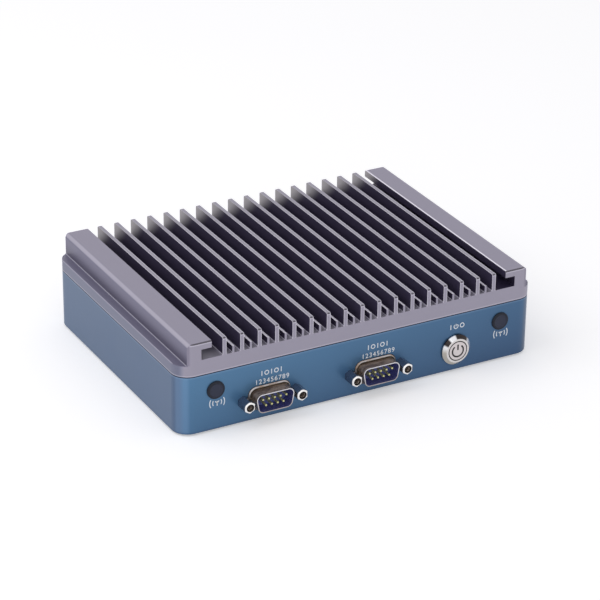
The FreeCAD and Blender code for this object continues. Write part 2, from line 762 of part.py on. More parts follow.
def sink_holes(body):
    """Countersink the screw holes on a body's underside."""
    bottom = body.Shape.BoundBox.ZMin
    clear = SIZES["thread_radius"] + SIZES["screw_hole_gap"]

    def sunk_rim(edge):
        box = edge.BoundBox
        return box.ZMax - bottom < CLOSE and abs(box.XLength - 2 * clear) < CLOSE

    chamfer(body, edges_where(body, sunk_rim), "sunk_head_radius - thread_radius")


def make_feet():
    """Four flat rubber pads stuck under the bottom cover."""
    points = [("0", "0"), ("foot_radius - foot_edge", "0"), ("foot_radius", "foot_edge"),
              ("foot_radius", "foot_height"), ("0", "foot_height")]
    side = "(body_width / 2 - foot_inset)"
    end = "(body_depth / 2 - foot_inset)"
    for along, y in (("front", "-" + end), ("rear", end)):
        for across, x in (("left", "-" + side), ("right", side)):
            turned(new_body("foot_%s_%s" % (along, across), x, y), points, "V_Axis")


def screw_section(head, length):
    """Half section of an upright screw, its head at the bottom; head is 'sunk' or 'pan'."""
    drive = [("0", "drive_depth"), ("drive_radius", "drive_depth"), ("drive_radius", "0")]
    if head == "sunk":
        points = [("sunk_head_radius", "0"), ("thread_radius", "sunk_head_radius - thread_radius")]
        tip = length
    else:
        points = [("pan_head_radius - pan_head_edge", "0"), ("pan_head_radius", "pan_head_edge"),
                  ("pan_head_radius", "pan_head_height"), ("thread_radius", "pan_head_height")]
        tip = "pan_head_height + " + length
    return drive + points + [("thread_radius", tip), ("0", tip)]


def screw_group(label, head, length, x, y, z, x_spacing, y_spacing):
    """Four equal screws at the corners of a rectangle, the first at (x, y, z)."""
    body = new_body(label, x, y, z)
    sketch = new_sketch(body, "section", "XZ_Plane")
    outline(sketch, screw_section(head, length))
    one = revolve(body, sketch, "V_Axis")
    pattern(body, one, ("X_Axis", x_spacing, "2"), ("Y_Axis", y_spacing, "2"))


def make_fasteners():
    """Cover, lug, heat block and board screws, board standoffs and the threaded mounting nuts."""
    screw_group("cover_screws", "sunk", "cover_screw_length", "-" + BOSS_X, "-" + BOSS_Y, BOTTOM,
                "2 * " + BOSS_X, "2 * " + BOSS_Y)
    screw_group("heatsink_screws", "pan", "lug_thickness + lug_screw_bite - screw_tip_gap", "-" + LUG_X,
                "-lug_place", "%s - lug_thickness - pan_head_height" % SEAM, "2 * " + LUG_X, "2 * lug_place")
    screw_group("block_screws", "sunk", "%s + lid_screw_bite - screw_tip_gap" % BLOCK_HEIGHT,
                "-block_screw_square / 2", "chip_place - block_screw_square / 2",
                "%s - %s" % (SEAM, BLOCK_HEIGHT), "block_screw_square", "block_screw_square")
    screw_group("board_screws", "pan", "board_thickness + board_screw_bite", "-" + STANDOFF_X,
                "-" + STANDOFF_FRONT, "%s - pan_head_height" % BOARD_UNDER, "2 * " + STANDOFF_X,
                STANDOFF_SPAN)

    body = new_body("standoffs", "-" + STANDOFF_X, "-" + STANDOFF_FRONT, BOARD_TOP)
    gap_height = "(frame_height - board_level - board_thickness)"
    stud_end = gap_height + " + lid_screw_bite - screw_tip_gap"
    hole_end = gap_height + " - standoff_web"
    section = new_sketch(body, "section", "XZ_Plane")
    outline(section, [(THREAD_HOLE, "0"), ("standoff_radius", "0"), ("standoff_radius", gap_height),
                      ("thread_radius", gap_height), ("thread_radius", stud_end), ("0", stud_end),
                      ("0", hole_end), (THREAD_HOLE, hole_end)])
    one = revolve(body, section, "V_Axis")
    pattern(body, one, ("X_Axis", "2 * " + STANDOFF_X, "2"), ("Y_Axis", STANDOFF_SPAN, "2"))

    body = new_body("mount_nuts", "-mount_square / 2", "-mount_square / 2", BOTTOM)
    section = new_sketch(body, "section", "XZ_Plane")
    tall = "cover_thickness + nut_rim_height"
    outline(section, [("mount_thread_radius", "0"), ("nut_pilot_radius", "0"),
                      ("nut_pilot_radius", "cover_thickness"), ("nut_rim_radius", "cover_thickness"),
                      ("nut_rim_radius", tall), ("mount_thread_radius", tall)])
    one = revolve(body, section, "V_Axis")
    pattern(body, one, ("X_Axis", "mount_square", "2"), ("Y_Axis", "mount_square", "2"))


# ---------------------------------------------------------------------------------------------------------
# Main board and its modules
# ---------------------------------------------------------------------------------------------------------

def make_board():
    """Main board: wide behind, with a narrower tongue that carries the front serial connectors."""
    body = new_body("mainboard")
    plan = new_sketch(body, "plan", "XY_Plane", BOARD_UNDER)
    front = "(board_front_gap - body_depth / 2)"
    shoulder = "-" + SHOULDER
    left = SERIAL_LEFT_X + " - flange_width / 2 - tongue_margin"
    right = "serial_right_x + flange_width / 2 + tongue_margin"
    outline(plan, [("-" + BOARD_SIDE, shoulder), (left, shoulder), (left, front), (right, front),
                   (right, shoulder), (BOARD_SIDE, shoulder), (BOARD_SIDE, BOARD_REAR),
                   ("-" + BOARD_SIDE, BOARD_REAR)])
    pad(body, plan, "board_thickness")
    holes = new_sketch(body, "holes", "XY_Plane", BOARD_UNDER)
    circle(holes, "-" + STANDOFF_X, "-" + STANDOFF_FRONT, CLEAR_HOLE)
    drilled = pocket(body, holes, "board_thickness", outward=True)
    pattern(body, drilled, ("X_Axis", "2 * " + STANDOFF_X, "2"), ("Y_Axis", STANDOFF_SPAN, "2"))


def make_processor():
    """Processor, thermal pad and the screwed block that leads its heat to the lid."""
    body = block("processor", "0", "chip_place", BOARD_TOP, "chip_across", "chip_along", "chip_base_height")
    die = new_sketch(body, "die", "XY_Plane", "chip_base_height")
    rectangle(die, "0", "0", "die_across", "die_along")
    pad(body, die, "die_height")
    chip_top = "%s + chip_base_height + die_height" % BOARD_TOP
    block("thermal_pad", "0", "chip_place", chip_top, "pad_across", "pad_across", "pad_height")

    body = block("heat_block", "0", "chip_place", "%s - %s" % (SEAM, BLOCK_HEIGHT), "block_across",
                 "block_across", BLOCK_HEIGHT)
    fillet(body, edges_where(body, lambda edge: runs_along(edge, "z")), "block_edge")
    holes = new_sketch(body, "holes", "XY_Plane")
    for x_sign in ("-", ""):
        for y_sign in ("-", ""):
            circle(holes, x_sign + "block_screw_square / 2", y_sign + "block_screw_square / 2", CLEAR_HOLE)
    pocket(body, holes, BLOCK_HEIGHT, outward=True)
    sink_holes(body)


def make_card(name, x, slot_y, width, along, thickness, chips, chip_height):
    """Plug-in card under the board in its socket; the card runs forward from the socket's front face."""
    socket_width = "%s + 2 * socket_side" % width
    socket = block(name + "_socket", x, "%s + socket_depth / 2" % slot_y, "%s - socket_height" % BOARD_UNDER,
                   socket_width, "socket_depth", "socket_height")
    slot = new_sketch(socket, "slot", "YZ_Plane")
    slot_low = "socket_height - card_drop - %s - card_gap" % thickness
    slot_high = "socket_height - card_drop + card_gap"
    outline(slot, [("-socket_depth / 2", slot_low), ("card_bite + card_gap - socket_depth / 2", slot_low),
                   ("card_bite + card_gap - socket_depth / 2", slot_high), ("-socket_depth / 2", slot_high)])
    pocket(socket, slot, "%s + 2 * card_gap" % width, symmetric=True)
    card = block(name + "_module", x, "%s + card_bite - (%s) / 2" % (slot_y, along),
                 "%s - card_drop - %s" % (BOARD_UNDER, thickness), width, along, thickness)
    chip_sketch = new_sketch(card, "chips", "XY_Plane")
    for chip_x, chip_y, chip_width, chip_depth in chips:
        rectangle(chip_sketch, chip_x, chip_y, chip_width, chip_depth)
    pad(card, chip_sketch, chip_height, inward=True)
    return card


def make_modules():
    """Memory, storage and wireless cards and the coin cell in its holder."""
    memory_chips = [("%d * memory_across / 8" % step, "-memory_chip_shift", "memory_chip_across",
                     "memory_chip_along") for step in (-3, -1, 1, 3)]
    make_card("memory", MEMORY_X, "memory_slot_y", "memory_across", "memory_along", "memory_thickness",
              memory_chips, "memory_chip_height")
    wide = "card_width * card_chip_share"
    long = "storage_along / 4"
    storage = make_card("storage", STORAGE_X, "storage_slot_y", "card_width", "storage_along",
                        "card_thickness", [("0", "-storage_along / 4", wide, long),
                                           ("0", "storage_along / 6", wide, long)], "card_chip_height")
    wireless = make_card("wireless", WIRELESS_X, "wireless_slot_y", "card_width", "wireless_along",
                         "card_thickness", [("0", "0", wide, "wireless_along * card_chip_share")],
                         "card_chip_height")
    for card, along in ((storage, "storage_along"), (wireless, "wireless_along")):
        post = new_sketch(card, "post", "XY_Plane", "card_thickness")
        circle(post, "0", "post_radius + post_edge_gap - (%s) / 2" % along, "post_radius")
        pad(card, post, "card_drop")

    under = "%s - cell_floor - cell_height" % BOARD_UNDER
    bore = "cell_radius + cell_gap"
    top = "cell_height + cell_floor"
    turned(new_body("coin_cell_holder", CELL_X, "cell_y", under),
           [("0", "cell_height"), (bore, "cell_height"), (bore, "0"), (CELL_OUTSIDE, "0"),
            (CELL_OUTSIDE, top), ("0", top)], "V_Axis")
    face = "cell_radius - cell_step"
    turned(new_body("coin_cell", CELL_X, "cell_y", under),
           [("0", "0"), (face, "0"), (face, "cell_step_height"), ("cell_radius", "2 * cell_step_height"),
            ("cell_radius", "cell_height"), ("0", "cell_height")], "V_Axis")


# ---------------------------------------------------------------------------------------------------------
# Serial connectors
# ---------------------------------------------------------------------------------------------------------

def make_serial(name, x, rear):
    """Nine-pin connector behind the panel: drawn shell, insulator, pins and two hexagonal jackscrews."""
    level = "%s + serial_level" % BOTTOM

    shell = panel_body(name + "_shell", x, level, rear)
    flange = new_sketch(shell, "flange", "XZ_Plane", "-frame_wall")
    rectangle(flange, "0", "0", "flange_width", "flange_height")
    pad(shell, flange, "flange_thickness", inward=True)
    root = new_sketch(shell, "root", "XZ_Plane", "-frame_wall")
    d_outline(root, "root_growth")
    pad(shell, root, "frame_wall + root_rise")

    def outward_distance(point):
        """How far a point stands out of the panel."""
        return (point.y - SIZES["body_depth"] / 2) if rear else (-SIZES["body_depth"] / 2 - point.y)

    def rim_at(distance):
        """Test for an edge that lies flat at a distance out of the panel."""
        def test(edge):
            flat = edge.BoundBox.YLength < CLOSE
            return flat and abs(outward_distance(edge.Vertexes[0].Point) - distance) < CLOSE
        return test

    chamfer(shell, edges_where(shell, rim_at(SIZES["root_rise"])), "root_edge")
    tube = new_sketch(shell, "tube", "XZ_Plane", "root_rise")
    d_outline(tube)
    pad(shell, tube, "serial_reach - root_rise")
    cavity = new_sketch(shell, "cavity", "XZ_Plane", "serial_reach")
    d_outline(cavity, "-shell_wall")
    pocket(shell, cavity, "serial_reach + frame_wall + flange_thickness")
    screw_holes = new_sketch(shell, "screw_holes", "XZ_Plane", "-frame_wall")
    for sign in ("-", ""):
        circle(screw_holes, sign + "jack_spacing / 2", "0", "jack_stud_radius + jack_hole_gap")
    pocket(shell, screw_holes, "flange_thickness")

    insulator = panel_body(name + "_insulator", x, level, rear)
    plug = new_sketch(insulator, "plug", "XZ_Plane", "-insert_level")
    d_outline(plug, "-(shell_wall + insert_gap)")
    pad(insulator, plug, "frame_wall + flange_thickness - insert_level", inward=True)
    shroud = new_sketch(insulator, "shroud", "XZ_Plane", "-(frame_wall + flange_thickness)")
    low = "-flange_height / 2"
    high = "board_level - serial_level"
    outline(shroud, [("-flange_width / 2", low), ("flange_width / 2", low), ("flange_width / 2", high),
                     ("-flange_width / 2", high)])
    pad(insulator, shroud, "shroud_depth", inward=True)
    holes = new_sketch(insulator, "pin_holes", "XZ_Plane", "-insert_level")
    for row, count in (("pin_row_rise", 5), ("-pin_row_rise", 4)):
        for step in range(count):
            circle(holes, "%g * pin_pitch" % (step - (count - 1) / 2), row, "pin_radius + insert_gap")
    pocket(insulator, holes, "pin_root")
    stud_holes = new_sketch(insulator, "stud_holes", "XZ_Plane", "-(frame_wall + flange_thickness)")
    for sign in ("-", ""):
        circle(stud_holes, sign + "jack_spacing / 2", "0", "jack_stud_radius + thread_fit")
    pocket(insulator, stud_holes, "jack_stud_length")

    pins = panel_body(name + "_pins", x, level, rear)
    for number, (row, count) in enumerate((("pin_row_rise", 5), ("-pin_row_rise", 4))):
        pin = new_sketch(pins, "row_%d" % number, "XZ_Plane", "-(insert_level + pin_root)")
        circle(pin, "%g * pin_pitch" % (-(count - 1) / 2), row, "pin_radius")
        one = pad(pins, pin, "insert_level + pin_root + pin_reach")
        pattern(pins, one, ("X_Axis", "pin_pitch", str(count)))

    chamfer(pins, edges_where(pins, rim_at(SIZES["pin_reach"])), "pin_tip")

    screws = panel_body(name + "_jackscrews", x, level, rear)
    post = new_sketch(screws, "post", "XZ_Plane")
    stud = new_sketch(screws, "stud", "XZ_Plane")
    thread = new_sketch(screws, "thread", "XZ_Plane", "jack_reach")
    for sign in ("-", ""):
        hexagon(post, sign + "jack_spacing / 2", "0", "jack_across_flats", upright=True)
        circle(stud, sign + "jack_spacing / 2", "0", "jack_stud_radius")
        circle(thread, sign + "jack_spacing / 2", "0", "jack_thread_radius")
    pad(screws, post, "jack_reach")
    pad(screws, stud, "jack_stud_length", inward=True)
    pocket(screws, thread, "jack_thread_depth")

    chamfer(screws, edges_where(screws, rim_at(SIZES["jack_reach"])), "jack_chamfer")


# ---------------------------------------------------------------------------------------------------------
# Power button and antenna plugs
# ---------------------------------------------------------------------------------------------------------

def make_button():
    """Power button: turned housing, moving cap, sealing ring, clamping nut and contact base."""
    level = "%s + button_level" % BOTTOM
    front = "-(gasket_height + bezel_rise)"
    bore = "cap_radius + cap_gap"
    seat = "%s + cap_thickness + button_travel + button_stop_gap" % front
    guide = "cap_stem_radius + cap_gap"
    turned(panel_body("button_housing", BUTTON_X, level),
           [(front, bore), (front, "bezel_flat_radius"), ("-(gasket_height + bezel_rim)", "bezel_radius"),
            ("-gasket_height", "bezel_radius"), ("-gasket_height", "barrel_radius"),
            ("barrel_length", "barrel_radius"), ("barrel_length", guide), (seat, guide), (seat, bore)])
    inside = "barrel_radius + barrel_fit"
    turned(panel_body("button_gasket", BUTTON_X, level),
           [("-gasket_height", inside), ("-gasket_height", "gasket_radius"), ("0", "gasket_radius"),
            ("0", inside)])
    stem = "%s + cap_thickness" % front
    stem_end = stem + " + cap_stem_length"
    turned(panel_body("button_cap", BUTTON_X, level),
           [(front, "0"), (front, "cap_radius - cap_edge"), (front + " + cap_edge", "cap_radius"),
            (stem, "cap_radius"), (stem, "cap_stem_radius"), (stem_end, "cap_stem_radius"), (stem_end, "0")])
    nut = panel_body("button_nut", BUTTON_X, level)
    ring = new_sketch(nut, "ring", "XZ_Plane", "-frame_wall")
    hexagon(ring, "0", "0", "nut_across_flats")
    circle(ring, "0", "0", "barrel_radius + thread_fit")
    pad(nut, ring, "nut_height", inward=True)
    base = panel_body("button_contact_base", BUTTON_X, level)
    disc = new_sketch(base, "disc", "XZ_Plane", "-barrel_length")
    circle(disc, "0", "0", "base_radius")
    pad(base, disc, "base_length", inward=True)
    blades = new_sketch(base, "terminals", "XZ_Plane", "-(barrel_length + base_length)")
    for sign in ("-", ""):
        rectangle(blades, sign + "terminal_spread / 2", "0", "terminal_thickness", "terminal_width")
    pad(base, blades, "terminal_length", inward=True)


def make_plug(label, x):
    """Rubber plug of an unused antenna hole: dished head, shank and barb."""
    dish = "-(plug_rise - plug_dish)"
    inner = "frame_wall + plug_hole_gap"
    end = inner + " + plug_length"
    turned(panel_body(label, x, "%s + plug_level" % BOTTOM),
           [(dish, "0"), (dish, "plug_radius - 3 * plug_edge"), ("-plug_rise", "plug_radius - 2 * plug_edge"),
            ("-plug_rise", "plug_radius - plug_edge"), ("-(plug_rise - plug_edge)", "plug_radius"),
            ("0", "plug_radius"), ("0", "plug_shank_radius"), (inner, "plug_shank_radius"),
            (inner, "plug_shank_radius + plug_barb"), (end, "plug_shank_radius - plug_barb"), (end, "0")])


# ---------------------------------------------------------------------------------------------------------
# Rear connectors
# ---------------------------------------------------------------------------------------------------------

def port_body(name, piece):
    """Body of one piece of a rear board connector, its origin on the panel at the board's underside."""
    return panel_body("%s_%s" % (name, piece), rear_place(name), BOARD_UNDER, rear=True)


def port_shell(name, kind):
    """Metal case of a board connector: its top touches the board, its mouth stands a little proud."""
    body = port_body(name, "shell")
    face = new_sketch(body, "face", "XZ_Plane", "port_proud")
    rectangle(face, "0", "-%s_height / 2" % kind, "%s_width" % kind, "%s_height" % kind)
    pad(body, face, "%s_depth" % kind, inward=True)
    return body


def make_data_port(name):
    """Stack of two data ports: a case with two slots and the insert that holds both tongues."""
    shell = port_shell(name, "data")
    slots = new_sketch(shell, "slots", "XZ_Plane", "port_proud")
    tongues = []
    for sign in ("-", "+"):
        centre = "-data_height / 2 %s data_slot_pitch / 2" % sign
        rectangle(slots, "0", centre, "data_width - 2 * port_wall", "data_slot_height")
        tongues.append(centre)
    pocket(shell, slots, "data_slot_depth")
    insert = port_body(name, "tongues")
    face = new_sketch(insert, "tongues", "XZ_Plane", "port_proud - data_slot_depth")
    for centre in tongues:
        rectangle(face, "0", centre, "data_tongue_width", "data_tongue_height")
    pad(insert, face, "data_slot_depth - tongue_setback")


def make_network_port(name):
    """Network port: a case with a stepped slot and an insert with eight spring contacts."""
    shell = port_shell(name, "network")
    slot = new_sketch(shell, "slot", "XZ_Plane", "port_proud")
    centre = "-network_height / 2"
    low = "%s - network_slot_height / 2" % centre
    high = "%s + network_slot_height / 2" % centre
    latch = "%s - network_latch_height" % low
    side = "network_slot_width / 2"
    inner = "network_latch_width / 2"
    outline(slot, [("-" + side, low), ("-" + inner, low), ("-" + inner, latch), (inner, latch), (inner, low),
                   (side, low), (side, high), ("-" + side, high)])
    pocket(shell, slot, "network_slot_depth")
    contacts = port_body(name, "contacts")
    strip = new_sketch(contacts, "strip", "XZ_Plane", "port_proud - network_slot_depth")
    first = "-(contact_count - 1) * contact_pitch / 2"
    rectangle(strip, first, high + " - contact_height / 2", "contact_width", "contact_height")
    one = pad(contacts, strip, "network_slot_depth - contact_setback")
    pattern(contacts, one, ("X_Axis", "contact_pitch", "contact_count"))


def make_video_port(name):
    """Video port: a flat case with bevelled lower corners round a single tongue."""
    shell = port_shell(name, "video")
    depth = SIZES["video_depth"]
    low_z = shell.Shape.BoundBox.ZMin

    def lower_corner(edge):
        box = edge.BoundBox
        whole = abs(box.YLength - depth) < CLOSE
        return whole and runs_along(edge, "y") and abs(box.ZMin - low_z) < CLOSE

    chamfer(shell, edges_where(shell, lower_corner), "video_chamfer")
    slot = new_sketch(shell, "slot", "XZ_Plane", "port_proud")
    side = "(video_width / 2 - port_wall)"
    cut = "(video_width / 2 - port_wall - video_chamfer)"
    low = "(port_wall - video_height)"
    outline(slot, [("-" + cut, low), (cut, low), (side, low + " + video_chamfer"), (side, "-port_wall"),
                   ("-" + side, "-port_wall"), ("-" + side, low + " + video_chamfer")])
    pocket(shell, slot, "video_slot_depth")
    tongue = port_body(name, "tongue")
    face = new_sketch(tongue, "face", "XZ_Plane", "port_proud - video_slot_depth")
    rectangle(face, "0", "-video_height / 2", "video_tongue_width", "video_tongue_height")
    pad(tongue, face, "video_slot_depth - tongue_setback")


def make_power_jack():
    """Round direct-current inlet: flanged barrel, centre pin and clamping nut inside the panel."""
    level = "%s + power_level" % BOTTOM
    across = rear_place("power_jack")
    rise = "-power_flange_rise"
    floor = "power_bore_depth - power_flange_rise"
    turned(panel_body("power_jack", across, level, rear=True),
           [(rise, "power_bore_radius"), (rise, "power_flange_radius - power_flange_edge"),
            (rise + " + power_flange_edge", "power_flange_radius"), ("0", "power_flange_radius"),
            ("0", "power_barrel_radius"), ("power_barrel_length", "power_barrel_radius"),
            ("power_barrel_length", "0"), (floor, "0"), (floor, "power_bore_radius")])
    turned(panel_body("power_jack_pin", across, level, rear=True),
           [("0", "0"), ("0", "power_pin_radius - power_pin_edge"), ("power_pin_edge", "power_pin_radius"),
            (floor, "power_pin_radius"), (floor, "0")])
    nut = panel_body("power_jack_nut", across, level, rear=True)
    ring = new_sketch(nut, "ring", "XZ_Plane", "-frame_wall")
    hexagon(ring, "0", "0", "power_nut_flats")
    circle(ring, "0", "0", "power_barrel_radius + thread_fit")
    pad(nut, ring, "power_nut_height", inward=True)


# ---------------------------------------------------------------------------------------------------------
# Build, check and write
# ---------------------------------------------------------------------------------------------------------

def check_document():
    """Stop if any object failed or any sub-part lacks a valid solid."""
    for item in doc.Objects:
        if "Invalid" in item.State or "Error" in item.State:
            raise RuntimeError("%s failed: %s" % (item.Label, item.State))
    for node in nodes:
        if node.Shape.isNull() or not node.Shape.isValid() or not node.Shape.Solids:
            raise RuntimeError(node.Label + " has no valid shape")


make_heatsink()
make_frame()
make_cover()
make_feet()
make_fasteners()
make_board()
make_processor()
make_modules()
for port_name, (port_x, port_rear) in SERIAL_PORTS.items():
    make_serial(port_name, port_x, port_rear)
make_button()
for plug_name, plug_x in PLUGS.items():
    make_plug(plug_name, plug_x)
for port_letter in "ab":
    make_data_port("data_port_" + port_letter)
    make_network_port("network_port_" + port_letter)
    make_video_port("video_port_" + port_letter)
make_power_jack()
doc.recompute()
check_document()
os.makedirs("parts", exist_ok=True)
for node in nodes:
    node.Shape.exportStep("parts/%s.step" % node.Label)
    print(node.Label, len(node.Shape.Solids), round(node.Shape.Volume, 1))
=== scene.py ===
"""Finishes and fine pieces of a fanless industrial computer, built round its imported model.

Every length is in metres, except the offsets given to past and stripe, which are in millimetres. X runs to
the right along the front panel, Y to the rear and Z up, with the origin on the floor under the middle of the
housing.
"""
import math

import bmesh
import bpy
import numpy as np
from bpy.props import FloatProperty, FloatVectorProperty, IntProperty, PointerProperty
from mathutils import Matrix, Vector


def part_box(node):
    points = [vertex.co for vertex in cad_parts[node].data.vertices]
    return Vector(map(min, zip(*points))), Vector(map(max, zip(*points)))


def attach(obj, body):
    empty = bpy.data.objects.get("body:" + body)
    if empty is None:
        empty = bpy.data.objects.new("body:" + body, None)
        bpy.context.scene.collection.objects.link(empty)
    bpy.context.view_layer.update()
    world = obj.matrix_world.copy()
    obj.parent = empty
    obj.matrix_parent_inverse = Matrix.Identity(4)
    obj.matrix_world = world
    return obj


bl_info = {
    "name": "Fanless industrial computer",
    "version": (1, 0, 0),
    "blender": (4, 5, 0),
    "location": "3D View > Sidebar > Computer",
    "description": "Gives the packed computer its finishes, printed marks, threads and studio",
    "category": "Object",
}

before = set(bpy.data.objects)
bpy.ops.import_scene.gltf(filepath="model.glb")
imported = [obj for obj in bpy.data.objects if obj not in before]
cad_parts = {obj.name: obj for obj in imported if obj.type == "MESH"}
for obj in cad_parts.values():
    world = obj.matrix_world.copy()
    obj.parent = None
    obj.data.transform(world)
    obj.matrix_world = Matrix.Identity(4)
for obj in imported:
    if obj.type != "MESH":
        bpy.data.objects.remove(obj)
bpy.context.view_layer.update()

MM = 0.001
ORIGIN = (0.0, 0.0, 0.0)
FIN_PITCH = 8.22 * MM
HALF_FIN = 0.9 * MM
GRAIN_DEPTH = 0.02 * MM    # of a surface's bumps
SCREW_FACE_RADIUS = 2.52 * MM
COUNTERSINK_RADIUS = 1.79 * MM
THREAD_RADIUS = 1.19 * MM
THREAD_LENGTH = 4.9 * MM
THREAD_WALL = 0.005 * MM   # of a thread's lining
# painted highlight on a thread's ridges inside this radius
CREST_RADIUS = 1.11 * MM   # inside which a thread's ridges are bright
BEZEL_RING_RADIUS = 5.65 * MM
TURNING_PITCH = 0.12 * MM  # between the fine rings of the turned cap
HOUSING = "housing"
BUTTON = "power_button"
SERIAL_PORTS = {"serial_left": -1, "serial_right": -1, "serial_rear": 1}  # each with the side it faces
ANTENNA_PLUGS = ("antenna_plug_left", "antenna_plug_right")
FEET = ("foot_front_left", "foot_front_right", "foot_rear_left", "foot_rear_right")

# Where each kind of printed mark stands: how far right of its fitting's middle, and how far above which
# share of the fitting's height
MARK_PLACES = {
    "port": (1.0 * MM, 0.5, 11.2 * MM),
    "numbers": (1.3 * MM, 0.5, 7.3 * MM),
    "switch": (0.0, 1.0, 3.85 * MM),
    "aerial": (0.7 * MM, 0.0, -2.5 * MM),
}


def axis_of(name):
    """Point in the middle plane on the axis, along Y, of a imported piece."""
    low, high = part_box(name)
    return (low.x + high.x) / 2, 0.0, (low.z + high.z) / 2


# ----------------------------
# Settings
# ----------------------------

def colour(red, green, blue):
    """Linear colour of a display colour given in parts of 255."""
    shares = np.array([red, green, blue]) / 255
    linear = np.where(shares <= 0.04045, shares / 12.92, ((shares + 0.055) / 1.055) ** 2.4)
    return tuple(float(share) for share in linear)


# Lesser colours of single pieces, among them painted highlights, painted shade and painted reflections, as
# display colours in parts of 255
SHADES = {name: colour(*shade) for name, shade in {
    # Painted highlight and painted shade on the housing's front corners, and a painted highlight just under
    # the seam
    "corner_painted_highlight": (130, 165, 205), "corner_painted_shade": (80, 94, 114), "seam_painted_highlight": (150, 180, 215),
    "cover": (44, 45, 49), "black_screw": (62, 62, 66), "zinc": (196, 198, 204),
    # Painted reflection of the blue insert on the shells' inner walls
    "shell_streak": (112, 92, 82), "shell_root": (58, 56, 44), "shell_painted_reflection": (92, 94, 152),
    # Painted highlight on the jackscrews' faces and painted shade in their countersinks
    "screw_face_highlight": (250, 248, 246), "countersink": (54, 50, 48),
    # Painted shade between a thread's ridges and a painted highlight on them
    "thread_root_shade": (44, 38, 36), "thread_crest_highlight": (236, 222, 212),
    # Painted shade round the edge of the button's cap and round the edge of each antenna plug
    "cap": (222, 214, 214), "cap_rim_shade": (34, 30, 30), "plug_rim_shade": (30, 34, 46),
    # Painted reflections: the light and dark sectors of the polished bezel
    "bezel_pale": (236, 236, 240), "bezel_dark": (52, 46, 46), "bezel_warm": (186, 180, 170),
    "bezel_grey": (206, 206, 210),
    # Painted highlight along the edges of the rear port shells
    "port_sheet": (186, 184, 180), "port_edge_highlight": (236, 234, 230), "port_plastic": (34, 34, 38),
    "solder_resist": (24, 92, 60), "package": (38, 40, 40), "pad": (150, 156, 166),
    "milled": (202, 203, 207), "turned_brass": (196, 164, 96), "nickel_nut": (190, 188, 184),
}.items()}


def colour_property(name, shade, description):
    """Setting for a colour, given as a display colour."""
    return FloatVectorProperty(name=name, subtype="COLOR", size=3, min=0, max=1, default=colour(*shade),
                               description=description)


def length_property(name, default, description):
    """Setting for a length in metres."""
    return FloatProperty(name=name, subtype="DISTANCE", unit="LENGTH", default=default, min=0,
                         description=description)


class COMPUTER_PG_finishes(bpy.types.PropertyGroup):
    """Colours of the finishes."""
    lid: colour_property("Lid", (146, 141, 160), "Anodised aluminium of the lid's rails")
    # Painted light: the front and upright faces of the lid are the same anodised metal as its tops, painted
    # lighter
    lid_front_lit: colour_property("Lid front", (165, 160, 177), "Front face of the lid")
    # Painted light: the upright sides of the lid's base are painted lighter and bluer than the anodised
    # metal
    lid_base_lit: colour_property("Lid base", (160, 166, 194), "Upright sides of the lid's base")
    # Painted highlight along the lid's edges
    lid_edge_highlight: colour_property("Lid edges", (236, 232, 246), "Bright lines along the lid's edges")
    lid_side: colour_property("Lid sides", (120, 117, 140), "Rail walls and ledges, which catch less light")
    # Painted shade on the narrow bevels at the front ends
    lid_bevel_shade: colour_property("Lid end bevels", (92, 88, 98), "Narrow bevels at the front ends")
    # Painted light: the fin tops are the same anodised metal as the rails' tops, painted lighter
    fin_top_lit: colour_property("Fin tops", (152, 148, 163), "Machined tops of the fins")
    # Painted shade: the fin flanks are the lid's own grey anodised metal, painted near black where they lie
    # deep between the fins
    flank: colour_property("Fin flanks", (56, 49, 75), "Sides of the fins deep between them")
    # Painted light on the flanks' rear ends
    flank_end_light: colour_property("Fin ends", (176, 172, 176), "Sides of the fins where they end at the rear")
    # Painted shade: the channel floors are the lid's own anodised metal, painted darker
    channel: colour_property("Channels", (84, 80, 96), "Floor between the fins and in the rail slots")
    housing: colour_property("Housing", (84, 129, 167), "Blue anodised ring")
    # Painted shade: the blue is darkened towards the lower right of the ring
    housing_shaded: colour_property("Housing, shaded", (55, 85, 122), "Blue at the lower right of the ring")
    # Painted reflection that greys the blue of the ring's side walls
    housing_side_reflection: colour_property("Housing sides", (82, 105, 137), "Greyer blue of the ring's side walls")
    seam: colour_property("Seam", (30, 42, 66), "Shadow line under the lid")
    rubber: colour_property("Rubber", (50, 54, 72), "Antenna plugs and feet")
    insulator: colour_property("Insulator", (100, 108, 172), "Moulded plastic of the serial connectors")
    nickel: colour_property("Nickel", (158, 136, 120), "Warm plated sheet of the connector shells")
    # Painted highlight on the rims and root lines of the connector shells
    nickel_highlight: colour_property("Nickel edges", (232, 230, 234), "Bright rims of the connector shells")
    jackscrew: colour_property("Jackscrews", (112, 122, 140), "Plated hexagonal jackscrews")
    steel: colour_property("Steel", (220, 216, 214), "Polished and satin steel of the button")
    gold: colour_property("Gold", (206, 204, 146), "Plated contacts")
    ink: colour_property("Ink", (240, 244, 250), "Printed marks on the panel")
    mark: colour_property("Button mark", (44, 40, 40), "Mark on the button's cap")


class COMPUTER_PG_details(bpy.types.PropertyGroup):
    """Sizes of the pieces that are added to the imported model."""
    mark_radius: length_property("Mark radius", 2.75 * MM, "Radius of the button mark's open ring")
    mark_stroke: length_property("Mark stroke", 0.75 * MM, "Width of the button mark's lines")
    mark_height: length_property("Mark height", 0.03 * MM, "How far printed marks stand proud")
    print_height: length_property("Print height", 2.3 * MM, "Height of the signs on the front panel")
    print_stroke: length_property("Print stroke", 0.42 * MM, "Width of the lines of the signs")
    thread_pitch: length_property("Thread pitch", 0.635 * MM, "Pitch of the jackscrews' inner thread")
    thread_depth: length_property("Thread depth", 0.16 * MM, "Height of the inner thread's ridges")
    thread_steps: IntProperty(name="Thread steps", default=24, min=8, max=96,
                              description="Faces round one turn of a thread")


